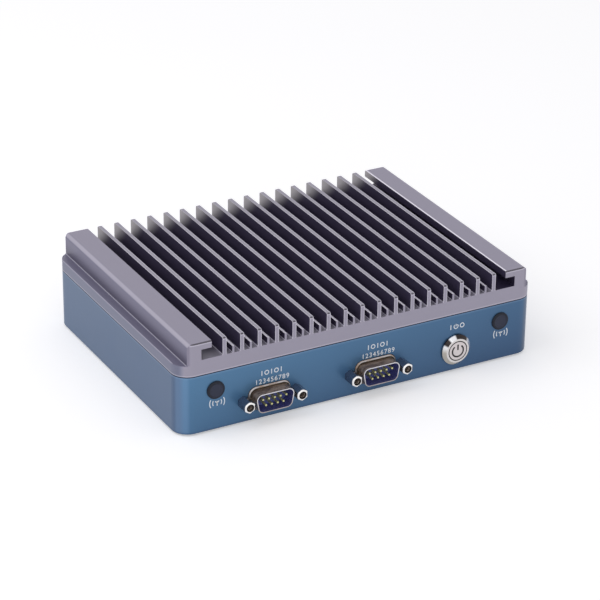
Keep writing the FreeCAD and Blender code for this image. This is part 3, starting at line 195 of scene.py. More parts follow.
class COMPUTER_PG_stage(bpy.types.PropertyGroup):
    """Camera, lamps and surroundings."""
    camera_place: FloatVectorProperty(name="Camera place", subtype="TRANSLATION", unit="LENGTH", size=3,
                                      default=(-0.51627, -0.94797, 0.55188),
                                      description="Where the camera stands")
    camera_turn: FloatVectorProperty(name="Camera turn", subtype="EULER", unit="ROTATION", size=3,
                                     default=tuple(math.radians(a) for a in (63.689, -0.622, -28.4335)),
                                     description="Which way the camera looks")
    lens: FloatProperty(name="Lens", default=161.91, min=1, unit="CAMERA",
                        description="Focal length in millimetres")
    key_power: FloatProperty(name="Key lamp", default=2.0, min=0, unit="POWER",
                             description="Power of the left lamp")
    fill_power: FloatProperty(name="Front lamp", default=1.0, min=0, unit="POWER",
                              description="Power of the front lamp")
    sky: FloatProperty(name="Sky", default=0.62, min=0, description="Strength of the light from all round")
    floor_glow: FloatProperty(name="Floor lift", default=0.36, min=0,
                              description="What the camera sees on the floor beyond its own light")


# ----------------------------
# Node helpers
# ----------------------------

def add(kind, settings=None, inputs=None, tree=None):
    """Node of a kind with its settings; an input takes a number, a colour or the socket that feeds it.

    The node goes into the tree of its first socket, or into the tree that is given where it has none.
    """
    inputs = inputs or {}
    if tree is None:
        tree = next(value.id_data for value in inputs.values() if isinstance(value, bpy.types.NodeSocket))
    node = tree.nodes.new("ShaderNode" + kind)
    for key, value in (settings or {}).items():
        setattr(node, key, value)
    for key, value in inputs.items():
        if isinstance(value, bpy.types.NodeSocket):
            tree.links.new(value, node.inputs[key])
        else:
            node.inputs[key].default_value = value
    return node


def send(value, socket):
    """Link a value to the input that it feeds."""
    value.id_data.links.new(value, socket)


def maths(operation, *values, clamp=False):
    """Result of a Math node."""
    return add("Math", {"operation": operation, "use_clamp": clamp}, dict(enumerate(values))).outputs[0]


def vector_maths(operation, first, second):
    """Vector that a Vector Math node makes."""
    return add("VectorMath", {"operation": operation}, {0: first, 1: second}).outputs[0]


def ramp(value, start, end, low=0.0, high=1.0):
    """Smooth step of a value from low at start to high at end."""
    limits = {"From Min": start, "From Max": end, "To Min": low, "To Max": high}
    return add("MapRange", {"interpolation_type": "SMOOTHSTEP"}, {"Value": value, **limits}).outputs[0]


def past(value, level, start, end, low=0.0, high=1.0):
    """Smooth step of a length, which starts and ends so many millimetres past a level."""
    return ramp(value, level + start * MM, level + end * MM, low, high)


def times(*values):
    """Product of several values."""
    product = values[0]
    for value in values[1:]:
        product = maths("MULTIPLY", product, value)
    return product


def stripe(value, level, foot, shoulder, far_shoulder, far_foot):
    """One between two shoulders and smoothly nought at either foot, all in millimetres past a level."""
    return times(past(value, level, foot, shoulder), past(value, level, far_foot, far_shoulder))


def bands(value, stops):
    """Colour along a row of stops, each a place from nought to one and a colour."""
    node = add("ValToRGB", inputs={"Fac": value})
    marks = node.color_ramp.elements
    for index, (place, shade) in enumerate(stops):
        mark = marks[index] if index < 2 else marks.new(place)
        mark.position = place
        mark.color = opaque(shade)
    return node.outputs["Color"]


def layers(shade, *coats):
    """Colour with others laid over it in turn, each a pair of its share and its colour."""
    for share, coat in coats:
        node = add("Mix", {"data_type": "RGBA"}, {0: share, 6: opaque(shade), 7: opaque(coat)})
        shade = node.outputs[2]
    return shade


def opaque(shade):
    """Colour with its alpha; a socket stays as it is."""
    return shade if isinstance(shade, bpy.types.NodeSocket) else (*tuple(shade)[:3], 1.0)


def axes(vector):
    """The three components of a vector."""
    return list(add("SeparateXYZ", inputs={0: vector}).outputs)


def use(name, inputs):
    """Outputs of an effect's node group, which is built at its first use."""
    if name not in bpy.data.node_groups:
        build_group(name, *EFFECTS[name])
    return add("Group", {"node_tree": bpy.data.node_groups[name]}, inputs).outputs


def build_group(name, effect, inputs, outputs):
    """Node group of an effect, whose inputs have defaults and whose outputs are all numbers."""
    tree = bpy.data.node_groups.new(name, "ShaderNodeTree")
    for label, default in inputs.items():
        kind = "Float" if isinstance(default, float) else "Vector"
        socket = tree.interface.new_socket(label, in_out="INPUT", socket_type="NodeSocket" + kind)
        socket.default_value = default
    for label in outputs:
        tree.interface.new_socket(label, in_out="OUTPUT", socket_type="NodeSocketFloat")
    come = tree.nodes.new("NodeGroupInput").outputs
    go = tree.nodes.new("NodeGroupOutput").inputs
    for label, value in zip(outputs, effect(come)):
        send(value, go[label])


def grain_values(come):
    """Fine grain and slow unevenness of a blasted or moulded surface, both round one half."""
    stretched = vector_maths("MULTIPLY", come["Vector"], come["Stretch"])
    size = maths("DIVIDE", 1.0, come["Grain"])
    fine = add("TexNoise", inputs={"Vector": stretched, "Scale": size, "Detail": 3.0})
    slow = add("TexNoise", inputs={"Vector": come["Vector"], "Scale": 45.0, "Detail": 2.0})
    return fine.outputs[0], slow.outputs[0]


def box_edge_mask(come):
    """One along the edges of an upright box, where the second smallest distance to its faces is small."""
    above = axes(vector_maths("SUBTRACT", come["Vector"], come["Low"]))
    below = axes(vector_maths("SUBTRACT", come["High"], come["Vector"]))
    near = [maths("MINIMUM", maths("ABSOLUTE", a), maths("ABSOLUTE", b)) for a, b in zip(above, below)]
    low_pair = maths("MINIMUM", near[0], near[1])
    high_pair = maths("MAXIMUM", near[0], near[1])
    second = maths("MAXIMUM", low_pair, maths("MINIMUM", high_pair, near[2]))
    return [ramp(second, come["Width"], 0.0)]


def facing_masks(come):
    """Which way a face looks.

    Side, End and Up are one where it looks squarely along X, along Y or upwards; Corner is one between Side
    and Up, Turn between Side and End, and Bevel between End and Up.
    """
    across, along, up = axes(come["Normal"])
    side = maths("ABSOLUTE", across)
    end = maths("ABSOLUTE", along)
    square = [ramp(value, 0.55, 0.85) for value in (side, end, up)]
    pairs = ((side, up), (side, end), (end, up))
    return square + [ramp(times(first, second), 0.25, 0.45) for first, second in pairs]


def disc_values(come):
    """Distance from an axis along Y, and the angle round it, for turned faces."""
    across, _, up = axes(vector_maths("SUBTRACT", come["Vector"], come["Centre"]))
    radius = maths("SQRT", maths("ADD", times(across, across), times(up, up)))
    return radius, maths("ARCTAN2", up, across)


# Each effect's function, its inputs with their defaults, and its outputs
EFFECTS = {
    "grain": (grain_values, {"Vector": ORIGIN, "Grain": 0.3 * MM, "Stretch": (1, 1, 1)}, ("Fine", "Slow")),
    "box_edge": (box_edge_mask, {"Vector": ORIGIN, "Low": ORIGIN, "High": (1, 1, 1), "Width": 0.3 * MM},
                 ("Mask",)),
    "facing": (facing_masks, {"Normal": (0, 0, 1)}, ("Side", "End", "Up", "Corner", "Turn", "Bevel")),
    "disc": (disc_values, {"Vector": ORIGIN, "Centre": ORIGIN}, ("Radius", "Angle")),
}


class Finish:
    """A material, its shader's inputs and the surface's own coordinates."""

    def __init__(self, name, metallic=0.0, specular=0.5):
        self.material = bpy.data.materials.new(name)
        self.material.use_nodes = True
        self.tree = self.material.node_tree
        self.shader = self.tree.nodes["Principled BSDF"].inputs
        self.shader["Metallic"].default_value = metallic
        self.shader["Specular IOR Level"].default_value = specular
        coordinates = add("TexCoord", tree=self.tree).outputs
        self.place = coordinates["Object"]
        self.normal = coordinates["Normal"]

    def dress(self, shade, roughness, grain=0.3 * MM, uneven=0.06, bump=0.15, extra_height=None):
        """Feed the shader: colour and roughness varied by the grain, and the grain as a bump."""
        noise = use("grain", {"Vector": self.place, "Grain": grain})
        both = maths("ADD", times(noise["Fine"], 0.5), times(noise["Slow"], 0.5))
        lighter = maths("MULTIPLY_ADD", both, 2 * uneven, 1 - uneven)
        base = shade if isinstance(shade, bpy.types.NodeSocket) else tuple(shade)
        varied = add("VectorMath", {"operation": "SCALE"}, {0: base, "Scale": lighter})
        send(varied.outputs[0], self.shader["Base Color"])
        send(maths("ADD", maths("MULTIPLY_ADD", both, 0.16, -0.08), roughness), self.shader["Roughness"])
        relief = noise["Fine"] if extra_height is None else maths("ADD", noise["Fine"], extra_height)
        bumped = add("Bump", inputs={"Strength": bump, "Distance": GRAIN_DEPTH, "Height": relief})
        send(bumped.outputs[0], self.shader["Normal"])
        return self.material


def paint(material, *names):
    """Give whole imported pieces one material."""
    for name in names:
        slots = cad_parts[name].data.materials
        if not slots:
            slots.append(material)
        for index in range(len(slots)):
            slots[index] = material


def paint_plain(finish_name, shade, roughness, names, grain=0.3 * MM, bump=0.15, **gloss):
    """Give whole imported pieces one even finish."""
    paint(Finish(finish_name, **gloss).dress(shade, roughness, grain=grain, bump=bump), *names)


# ----------------------------
# Mesh helpers
# ----------------------------

def grid_mesh(name, points, wrap_rows, wrap_columns, caps=()):
    """Mesh on a grid of points, rows x columns x 3; a wrapped direction joins its last line to its first."""
    rows, columns = points.shape[:2]
    index = np.arange(rows * columns).reshape(rows, columns)
    next_row = np.roll(index, -1, axis=0)
    next_column = np.roll(index, -1, axis=1)
    corner = np.roll(next_row, -1, axis=1)
    quads = np.stack([index, next_row, corner, next_column], axis=-1)
    quads = quads[:rows if wrap_rows else rows - 1, :columns if wrap_columns else columns - 1]
    faces = quads.reshape(-1, 4).tolist() + [list(cap) for cap in caps]
    mesh = bpy.data.meshes.new(name)
    mesh.from_pydata(points.reshape(-1, 3).tolist(), [], faces)
    mesh.update()
    return mesh


def piece(name, mesh, material, body=HOUSING):
    """Object of a finished mesh that rides on a body."""
    made = bpy.data.objects.new(name, mesh)
    bpy.context.scene.collection.objects.link(made)
    mesh.materials.append(material)
    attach(made, body)


def bar(path, width, front, back):
    """Flat bar along a path in an upright plane, as a grid of points.

    At each point p of the path with side normal s, the four corners are p - s w/2 and p + s w/2 at the
    front level and the same two at the back level.
    """
    path = np.asarray(path, float)
    along = np.gradient(path, axis=0)
    along /= np.linalg.norm(along, axis=1)[:, None]
    side = np.stack([-along[:, 1], along[:, 0]], axis=1) * width / 2
    left, right = path - side, path + side
    corners = [np.stack([place[:, 0], np.full(len(path), level), place[:, 1]], axis=1)
               for place, level in ((left, front), (right, front), (right, back), (left, back))]
    return np.stack(corners, axis=1)


def arc(centre, radius, start, end, steps):
    """Points of an arc in an upright plane; angles in degrees from the right, anticlockwise."""
    turn = np.radians(np.linspace(start, end, steps))
    return np.stack([centre[0] + radius * np.cos(turn), centre[1] + radius * np.sin(turn)], axis=1)


def line(start, end):
    """Points of a straight line: its ends and its middle."""
    start, end = np.array(start, float), np.array(end, float)
    return np.stack([start, (start + end) / 2, end])


def sign_mesh(name, paths, width, level, thickness):
    """One mesh of several closed flat bars, which reach as far before a level as behind it."""
    vertices, faces = [], []
    for path in paths:
        grid = bar(path, width, level - thickness, level + thickness)
        rows = len(grid)
        first = sum(len(block) for block in vertices)
        index = first + np.arange(rows * 4).reshape(rows, 4)
        beside = np.roll(index, -1, axis=1)
        quads = np.stack([index[:-1], index[1:], beside[1:], beside[:-1]], axis=-1)
        faces += quads.reshape(-1, 4).tolist()
        faces += [index[0].tolist(), index[-1][::-1].tolist()]
        vertices.append(grid.reshape(-1, 3))
    mesh = bpy.data.meshes.new(name)
    mesh.from_pydata(np.concatenate(vertices).tolist(), [], faces)
    mesh.validate()
    mesh.update()
    outward_faces(mesh)
    return mesh


def outward_faces(mesh):
    """Turn the faces of closed shells outwards."""
    work = bmesh.new()
    work.from_mesh(mesh)
    bmesh.ops.recalc_face_normals(work, faces=work.faces)
    work.to_mesh(mesh)
    work.free()


# ----------------------------
# Pieces
# ----------------------------

class LidSurface:
    """Where a point of the lid lies, which way its face looks, and the levels at which the faces meet."""

    def __init__(self, finish):
        low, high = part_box("heatsink")
        self.front, self.rear, self.foot, self.top = low.y, high.y, low.z, high.z
        self.low_top = high.z - 4.8 * MM     # tops of the low fins
        self.bed = high.z - 8.0 * MM         # floor of the channels and of the rail slots
        self.ledge = high.z - 10.0 * MM      # top of the base outside the rails
        self.rail_wall = high.x - 4.2 * MM   # outer walls of the rails
        self.slot_wall = high.x - 10.5 * MM  # inner walls of the rails
        self.lip_edge = high.x - 15.3 * MM   # edges of the rails' lips
        self.last_fin = high.x - 20.35 * MM  # outer face of the last high fin

        self.across, self.along, self.up = axes(finish.place)
        self.outwards = maths("ABSOLUTE", self.across)
        self.facing = use("facing", {"Normal": finish.normal})
        turns = maths("FRACT", maths("MULTIPLY_ADD", self.across, 1 / FIN_PITCH, 100.5))
        self.off_centre = maths("ABSOLUTE", maths("MULTIPLY_ADD", turns, FIN_PITCH, -FIN_PITCH / 2))
        self.between = past(self.outwards, self.lip_edge, -0.1, -0.4)
        self.in_slots = past(self.outwards, self.slot_wall, 0.2, -0.1)
        self.upright = times(maths("SUBTRACT", 1.0, self.facing["Up"]), past(self.up, self.ledge, 0.4, 0))
        self.near_top = past(self.up, self.top, -0.3, -0.1)
        self.foremost = past(self.along, self.front, 0.5, 0.2)


class COMPUTER_OT_lid(bpy.types.Operator):
    """Finned lid: painted shade makes the flanks near black and the channels grey, painted highlights
    brighten the edges, and the rail walls are shaded
    """
    bl_idname = "computer.lid"
    bl_label = "Finned lid"

    def execute(self, context):
        finishes = context.scene.computer_finishes
        finish = Finish("lid_anodised", metallic=0.25, specular=0.4)
        lid = LidSurface(finish)
        shade = self.ends_and_tops(lid, finishes)
        shade = self.rails(lid, finishes, shade)
        shade, flank = self.channels(lid, finishes, shade)
        rough = maths("MULTIPLY_ADD", flank, 0.2, 0.42)
        paint(finish.dress(shade, rough, grain=0.25 * MM, uneven=0.07), "heatsink")
        return {"FINISHED"}

    def ends_and_tops(self, lid, finishes):
        """Front face, and tops of the fins and rails, with painted light on the front and upright faces and
        on the fin tops, and painted highlights along their edges.
        """
        # Painted highlights along the edges of the fins at their tops and front ends, fading towards the
        # rear, and on the low fins' tops, the rails' lips and under the front bevel
        fin_lines = times(lid.between, maths("MAXIMUM", lid.near_top, lid.foremost),
                          past(lid.up, lid.bed, -0.2, 0.1),
                          stripe(lid.off_centre, HALF_FIN, -0.3, -0.15, 0.2, 0.3),
                          past(lid.along, lid.rear, -40, -8, 0.75, 0.25))
        low_tops = times(lid.in_slots, lid.facing["Up"], stripe(lid.up, lid.low_top, -0.3, -0.1, 0.1, 0.3))
        lip = times(lid.near_top, stripe(lid.across, lid.lip_edge, -0.3, -0.2, 0.7, 0.9))
        under_bevel = times(lid.foremost, stripe(lid.up, lid.top, -1.05, -0.85, -0.6, -0.45), 0.45)
        return layers(finishes.lid,
                      (lip, finishes.lid_edge_highlight),
                      # painted light on the front face and the upright faces
                      (maths("MAXIMUM", lid.upright, lid.foremost), finishes.lid_front_lit),
                      (under_bevel, finishes.lid_edge_highlight),
                      # painted light on the upright sides of the base
                      (times(lid.upright, lid.facing["Side"]), finishes.lid_base_lit),
                      # painted light on the fin tops
                      (times(lid.between, lid.near_top), finishes.fin_top_lit),
                      (maths("MAXIMUM", fin_lines, low_tops), finishes.lid_edge_highlight))

    def rails(self, lid, finishes, shade):
        """Rail walls and ledges in painted shade, darker towards the root, with painted highlights where two
        faces meet and painted shade on the front bevels.
        """
        outer = past(lid.outwards, lid.rail_wall, -0.4, -0.1)
        # Painted shade on the rail walls and ledges
        wall = times(outer, past(lid.up, lid.ledge, -0.2, 0.1),
                     maths("MAXIMUM", lid.facing["Side"], past(lid.up, lid.ledge, 1.0, 0.2)))
        # Painted shade on the walls, growing towards their root
        root = times(outer, lid.facing["Side"], ramp(lid.up, lid.top - 3.0 * MM, lid.ledge + 0.5 * MM), 0.6)
        # Painted highlights on the rails' rounded edges and along the lower edge of the upright faces
        rounding = times(lid.facing["Corner"], past(lid.outwards, lid.rail_wall, -2.5, -2.1), 0.24)
        lower_line = times(past(lid.up, lid.foot, 0.6, 0.35), lid.upright, 0.32)
        # Painted shade on the front end bevels: across the rails, and as a spot in the middle of each fin
        bevel = times(lid.facing["Bevel"], past(lid.along, lid.front, 0.8, 0.6),
                      maths("MAXIMUM", past(lid.off_centre, HALF_FIN, -0.1, -0.4),
                            maths("SUBTRACT", 1.0, lid.between)))
        return layers(shade,
                      (wall, finishes.lid_side),
                      (root, finishes.channel),
                      (rounding, finishes.lid_edge_highlight),
                      (lower_line, finishes.lid_edge_highlight),
                      (bevel, finishes.lid_bevel_shade))

    def channels(self, lid, finishes, shade):
        """Channels in painted shade, with painted light at the front, and flanks in painted shade, with
        painted light at the rear.

        The floor of the right rail's slot gets painted shade at its mouth and under the lip, and a painted
        highlight runs where the flanks meet the floor. Gives the shade and the flanks' mask.
        """
        # Painted shade at the mouth of the right rail's slot and under the lips, and painted light towards
        # the front of the channels
        mouth = times(past(lid.across, lid.last_fin, -0.15, 0.15), past(lid.along, lid.front, 26, 12))
        under_lip = past(lid.across, lid.lip_edge, 0.8, 1.3)
        floor = layers(finishes.channel,
                       (past(lid.along, lid.front, 9, 1), finishes.fin_top_lit),
                       (maths("MAXIMUM", mouth, under_lip), finishes.flank))
        channel = times(lid.in_slots, lid.facing["Up"], past(lid.up, lid.bed, 1.0, 0.4))
        slope = 0.9
        slanted = maths("MULTIPLY_ADD", lid.up, slope, lid.along)
        # Painted highlight where the flanks meet the channel floor
        foot_line = times(past(lid.up, lid.bed, 0.65, 0.45), past(lid.across, lid.last_fin, 2.85, 2.35),
                          0.95)
        # Painted shade darkens the flanks near black
        dark = layers(finishes.flank,
                      # painted light on the flanks towards their rear ends, along a slanting line
                      (past(slanted, slope * lid.top, 47, 58), finishes.flank_end_light),
                      (foot_line, finishes.lid_edge_highlight))
        flank = times(past(lid.outwards, lid.slot_wall, 0.2, 0.05), lid.facing["Side"],
                      past(lid.up, lid.bed, -0.2, 0.05))
        return layers(shade, (channel, floor), (flank, dark)), flank


class COMPUTER_OT_housing(bpy.types.Operator):
    """Blue housing ring: satin anodised, with painted shade to the lower right and along the bottom, a
    painted reflection that greys the sides, a painted highlight and shade on the front corners, a painted
    highlight under the seam and a dark line under the lid
    """
    bl_idname = "computer.housing"
    bl_label = "Housing ring"

    def execute(self, context):
        finishes = context.scene.computer_finishes
        low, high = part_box("chassis_frame")
        finish = Finish("housing_anodised", metallic=0.35, specular=0.45)
        across, _, up = axes(finish.place)
        facing = use("facing", {"Normal": finish.normal})
        # Painted shade that grows to the right and downwards
        rightwards = maths("MULTIPLY_ADD", across, 0.6 / (high.x - low.x), 0.3)
        downwards = maths("MULTIPLY_ADD", up, -0.4 / (high.z - low.z), 0.4)
        # Painted highlight on the left front corner and painted shade on the right one
        leftwards = past(across, 0.0, 10, -10)
        corner = layers(SHADES["corner_painted_shade"], (leftwards, SHADES["corner_painted_highlight"]))
        shade = layers(finishes.housing,
                       (maths("ADD", rightwards, downwards, clamp=True), finishes.housing_shaded),
                       # painted reflection on the side walls
                       (facing["Side"], finishes.housing_side_reflection),
                       (times(facing["Turn"], ramp(leftwards, 0.0, 1.0, 0.4, 0.3)), corner),
                       # painted shade along the bottom edge
                       (past(up, low.z, 1.6, 0.1, 0.0, 0.6), finishes.housing_shaded),
                       # painted highlight just under the seam
                       (times(past(up, high.z, -1.5, -0.5), 0.22), SHADES["seam_painted_highlight"]),
                       (past(up, high.z, -0.55, -0.4), finishes.seam))
        paint(finish.dress(shade, 0.36, grain=0.22 * MM, uneven=0.07), "chassis_frame")
        return {"FINISHED"}


class COMPUTER_OT_underside(bpy.types.Operator):
    """Bottom cover, its screws, the mounting nuts and the rubber feet"""
    bl_idname = "computer.underside"
    bl_label = "Underside"

    def execute(self, context):
        finishes = context.scene.computer_finishes
        paint_plain("cover_painted", SHADES["cover"], 0.55, ["bottom_cover"], 0.35 * MM, 0.3, specular=0.35)
        paint_plain("foot_rubber", finishes.rubber, 0.8, FEET, 0.3 * MM, 0.35, specular=0.25)
        paint_plain("screw_black", SHADES["black_screw"], 0.35, ["cover_screws"], 0.15 * MM, metallic=0.9)
        paint_plain("zinc_plated", SHADES["zinc"], 0.3,
                    ["mount_nuts", "heatsink_screws", "block_screws", "board_screws", "coin_cell"],
                    0.2 * MM, metallic=1.0)
        return {"FINISHED"}


class COMPUTER_OT_serial(bpy.types.Operator):
    """Serial connectors: plated shells, moulded inserts, gilt pins and threaded jackscrews"""
    bl_idname = "computer.serial"
    bl_label = "Serial connectors"

    def execute(self, context):
        finishes = context.scene.computer_finishes
        details = context.scene.computer_details
        for name, side in SERIAL_PORTS.items():
            self.shell(name, finishes)
            paint_plain(name + "_insert", finishes.insulator, 0.38, [name + "_insulator"])
            self.jackscrews(name, side, finishes, details)
        gilt = [name + "_pins" for name in SERIAL_PORTS]
        gilt += ["network_port_a_contacts", "network_port_b_contacts", "power_jack_pin"]
        paint_plain("gilt_contacts", finishes.gold, 0.25, gilt, 0.1 * MM, metallic=0.6)
        return {"FINISHED"}

    def shell(self, name, finishes):
        """Warm plated sheet: painted highlights on the rim and root line, a dark root face, and a painted
        reflection of the insert's blue on the inner walls.
        """
        low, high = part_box(name + "_shell")
        mouth = max(abs(low.y), abs(high.y))
        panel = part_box("chassis_frame")[1].y
        finish = Finish(name + "_plating", metallic=0.4)
        _, along, up = axes(finish.place)
        out = maths("ABSOLUTE", along)
        facing = use("facing", {"Normal": finish.normal})
        # Painted reflection of the blue insert on the walls that face the shell's axis
        away = vector_maths("SUBTRACT", finish.place, axis_of(name + "_shell"))
        turned_in = add("VectorMath", {"operation": "DOT_PRODUCT"},
                        {0: vector_maths("MULTIPLY", away, (1, 0, 1)), 1: finish.normal}).outputs["Value"]
        inside = times(past(turned_in, 0.0, -0.2, -0.6), past(out, panel, -3, -2))
        # Painted highlight on the mouth's rim, strongest towards the top, and on the root line
        rim = times(past(out, mouth, -0.12, -0.04), past(up, (low.z + high.z) / 2, -4, 1, 0.35, 1.0))
        root_face = times(facing["End"], stripe(out, panel, 0.6, 0.66, 0.8, 0.9), 0.8)
        streaks = use("grain", {"Vector": finish.place, "Grain": 1.6 * MM, "Stretch": (0.35, 1, 1)})["Fine"]
        root_line = times(stripe(out, panel, 0.1, 0.2, 0.6, 0.68), ramp(streaks, 0.35, 0.6), 0.6)
        shade = layers(finishes.nickel,
                       (ramp(streaks, 0.4, 0.62), SHADES["shell_streak"]),
                       (root_face, SHADES["shell_root"]),
                       (root_line, finishes.nickel_highlight),
                       (inside, SHADES["shell_painted_reflection"]),
                       (rim, finishes.nickel_highlight))
        paint(finish.dress(shade, 0.27, grain=0.3 * MM, uneven=0.1), name + "_shell")

    def jackscrews(self, name, side, finishes, details):
        """Dark plated hexagons with a painted highlight on the face round painted shade in the countersink,
        and the thread inside.
        """
        low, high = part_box(name + "_jackscrews")
        half_flats = (high.z - low.z) / 2 * math.cos(math.radians(30))
        spread = (high.x - low.x) / 2 - half_flats
        mouth = max(abs(low.y), abs(high.y))
        centre = axis_of(name + "_shell")
        screw = Finish(name + "_screw_plating", metallic=0.8)
        out, radius = self.screw_places(screw, centre, spread)
        # Painted highlight on the screw's face and painted shade in its countersink
        face = times(past(out, mouth, -0.6, -0.3), past(radius, SCREW_FACE_RADIUS, 0.1, -0.1))
        shade = layers(finishes.jackscrew,
                       (face, SHADES["screw_face_highlight"]),
                       (past(radius, COUNTERSINK_RADIUS, 0.07, -0.07), SHADES["countersink"]))
        paint(screw.dress(shade, 0.22, grain=0.15 * MM, uneven=0.1), name + "_jackscrews")

        thread = Finish(name + "_thread_steel", metallic=0.8)
        _, radius = self.screw_places(thread, centre, spread)
        # Painted highlight on the thread's ridges and painted shade between them
        crest = past(radius, CREST_RADIUS, 0.05, -0.05)
        shade = layers(SHADES["thread_root_shade"], (crest, SHADES["thread_crest_highlight"]))
        thread.dress(shade, 0.35, grain=0.1 * MM)
        for label, across in (("left", centre[0] - spread), ("right", centre[0] + spread)):
            mesh = thread_mesh(name + "_thread_" + label, across, centre[2], side * mouth, -side, details)
            piece(name + "_thread_" + label, mesh, thread.material)

    def screw_places(self, finish, centre, spread):
        """How far a point lies from the middle of the depth and from the nearer screw's axis."""
        across, along, up = axes(finish.place)
        folded = maths("ABSOLUTE", maths("SUBTRACT", across, centre[0]))
        place = add("CombineXYZ", inputs={"X": folded, "Z": up}).outputs[0]
        disc = use("disc", {"Vector": place, "Centre": (spread, 0.0, centre[2])})
        return maths("ABSOLUTE", along), disc["Radius"]


def thread_mesh(name, centre, level, mouth, inward, details):
    """Lining of a threaded hole about an axis along Y.

    The inner wall is r(t, y) = radius - depth * h(y / pitch - t / 2 pi), where t is the angle and h a cosine
    wave from nought to one that grows over the first turn; the outer wall is a plain cylinder.
    """
    turn = np.linspace(0, 2 * math.pi, details.thread_steps, endpoint=False)
    rows = int(THREAD_LENGTH / details.thread_pitch * 8)
    deep = np.linspace(0, THREAD_LENGTH, rows)
    phase = deep[:, None] / details.thread_pitch - turn[None, :] / (2 * math.pi)
    ridge = 0.5 - 0.5 * np.cos(2 * math.pi * phase)
    fade = np.clip(deep / details.thread_pitch, 0, 1)[:, None]
    inner = THREAD_RADIUS - details.thread_depth * ridge * fade
    wall = np.concatenate([inner, np.full((2, len(turn)), THREAD_RADIUS + THREAD_WALL)])
    place = np.concatenate([deep, [THREAD_LENGTH, 0.0]])[:, None] + np.zeros_like(wall)
    points = np.stack([centre + wall * np.cos(turn), mouth + inward * place, level + wall * np.sin(turn)],
                      axis=-1)
    mesh = grid_mesh(name, points, True, True)
    outward_faces(mesh)
    mesh.shade_smooth()
    return mesh


class COMPUTER_OT_button(bpy.types.Operator):
    """Power button: polished bezel, turned satin cap and its mark"""
    bl_idname = "computer.button"
    bl_label = "Power button"

    def execute(self, context):
        finishes = context.scene.computer_finishes
        details = context.scene.computer_details
        centre = axis_of("button_cap")
        self.bezel(centre, finishes)
        low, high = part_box("button_cap")
        cap = Finish("cap_satin", metallic=0.6)
        radius = use("disc", {"Vector": cap.place, "Centre": centre})["Radius"]
        rings = maths("SINE", times(radius, 2 * math.pi / TURNING_PITCH))
        # Painted shade round the cap's edge, where it meets the bezel
        shade = layers(SHADES["cap"], (past(radius, (high.x - low.x) / 2, -0.4, -0.25), SHADES["cap_rim_shade"]))
        paint(cap.dress(shade, 0.36, grain=0.12 * MM, extra_height=times(rings, 0.25)), "button_cap")
        paint_plain("gasket_rubber", finishes.rubber, 0.7, ["button_gasket"], 0.2 * MM, specular=0.25)
        self.mark(centre, low.y, finishes, details)
        return {"FINISHED"}

    def mark(self, centre, face, finishes, details):
        """Open ring with an upright bar in its gap, which rides on the cap."""
        across, _, level = centre
        radius = details.mark_radius
        ring = arc((across, level), radius, 90 + 38, 90 + 322, 40)
        stem = line((across, level + 0.15 * radius), (across, level + 1.12 * radius))
        material = Finish("button_mark", specular=0.4).dress(finishes.mark, 0.5, grain=0.1 * MM)
        mesh = sign_mesh("button_mark", [ring, stem], details.mark_stroke, face, details.mark_height)
        piece("button_mark", mesh, material, BUTTON)

    def bezel(self, centre, finishes):
        """Polished cone with painted reflections in light and dark sectors round its axis, round a plain
        bright ring.
        """
        finish = Finish("bezel_polished", metallic=0.85)
        disc = use("disc", {"Vector": finish.place, "Centre": centre})
        # Painted reflection in sectors round the axis
        share = maths("FRACT", maths("MULTIPLY_ADD", disc["Angle"], 1 / (2 * math.pi), 1.0))
        pale, dark, warm, grey = (SHADES["bezel_" + label] for label in ("pale", "dark", "warm", "grey"))
        reflection_sectors = bands(share, ((0.0, pale), (0.1, pale), (0.125, dark), (0.258, dark), (0.275, pale),
                                (0.335, pale), (0.355, dark), (0.41, dark), (0.43, pale), (0.5, warm),
                                (0.72, warm), (0.86, grey)))
        shade = layers(finishes.steel, (past(disc["Radius"], BEZEL_RING_RADIUS, -0.1, 0.1), reflection_sectors))
        paint(finish.dress(shade, 0.16, grain=0.2 * MM, uneven=0.04, bump=0.05), "button_housing")


class COMPUTER_OT_plugs(bpy.types.Operator):
    """Rubber plugs of the antenna holes"""
    bl_idname = "computer.plugs"
    bl_label = "Antenna plugs"

    def execute(self, context):
        finishes = context.scene.computer_finishes
        for name in ANTENNA_PLUGS:
            low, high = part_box(name)
            plug = Finish(name + "_rubber", specular=0.3)
            radius = use("disc", {"Vector": plug.place, "Centre": axis_of(name)})["Radius"]
            # Painted shade round the plug's edge
            rim = past(radius, (high.x - low.x) / 2, -1.5, -0.6)
            shade = layers(finishes.rubber, (rim, SHADES["plug_rim_shade"]))
            paint(plug.dress(shade, 0.6, grain=0.25 * MM, bump=0.25), name)
        return {"FINISHED"}


class COMPUTER_OT_rear_ports(bpy.types.Operator):
    """Rear data, network and video ports and the power inlet"""
    bl_idname = "computer.rear_ports"
    bl_label = "Rear ports"

    def execute(self, context):
        for name in [kind + "_port_" + letter for kind in ("data", "network", "video") for letter in "ab"]:
            low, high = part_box(name + "_shell")
            shell = Finish(name + "_plating", metallic=1.0)
            # Painted highlight along the shell's edges
            edge = use("box_edge", {"Vector": shell.place, "Low": tuple(low), "High": tuple(high),
                                    "Width": 0.35 * MM})["Mask"]
            shade = layers(SHADES["port_sheet"], (edge, SHADES["port_edge_highlight"]))
            paint(shell.dress(shade, 0.28, grain=0.3 * MM, uneven=0.08), name + "_shell")
        paint_plain("port_plastic", SHADES["port_plastic"], 0.5,
                    ["data_port_a_tongues", "data_port_b_tongues", "video_port_a_tongue",
                     "video_port_b_tongue", "power_jack", "button_contact_base", "memory_socket",
                     "storage_socket", "wireless_socket", "coin_cell_holder"],
                    bump=0.2, specular=0.4)
        return {"FINISHED"}


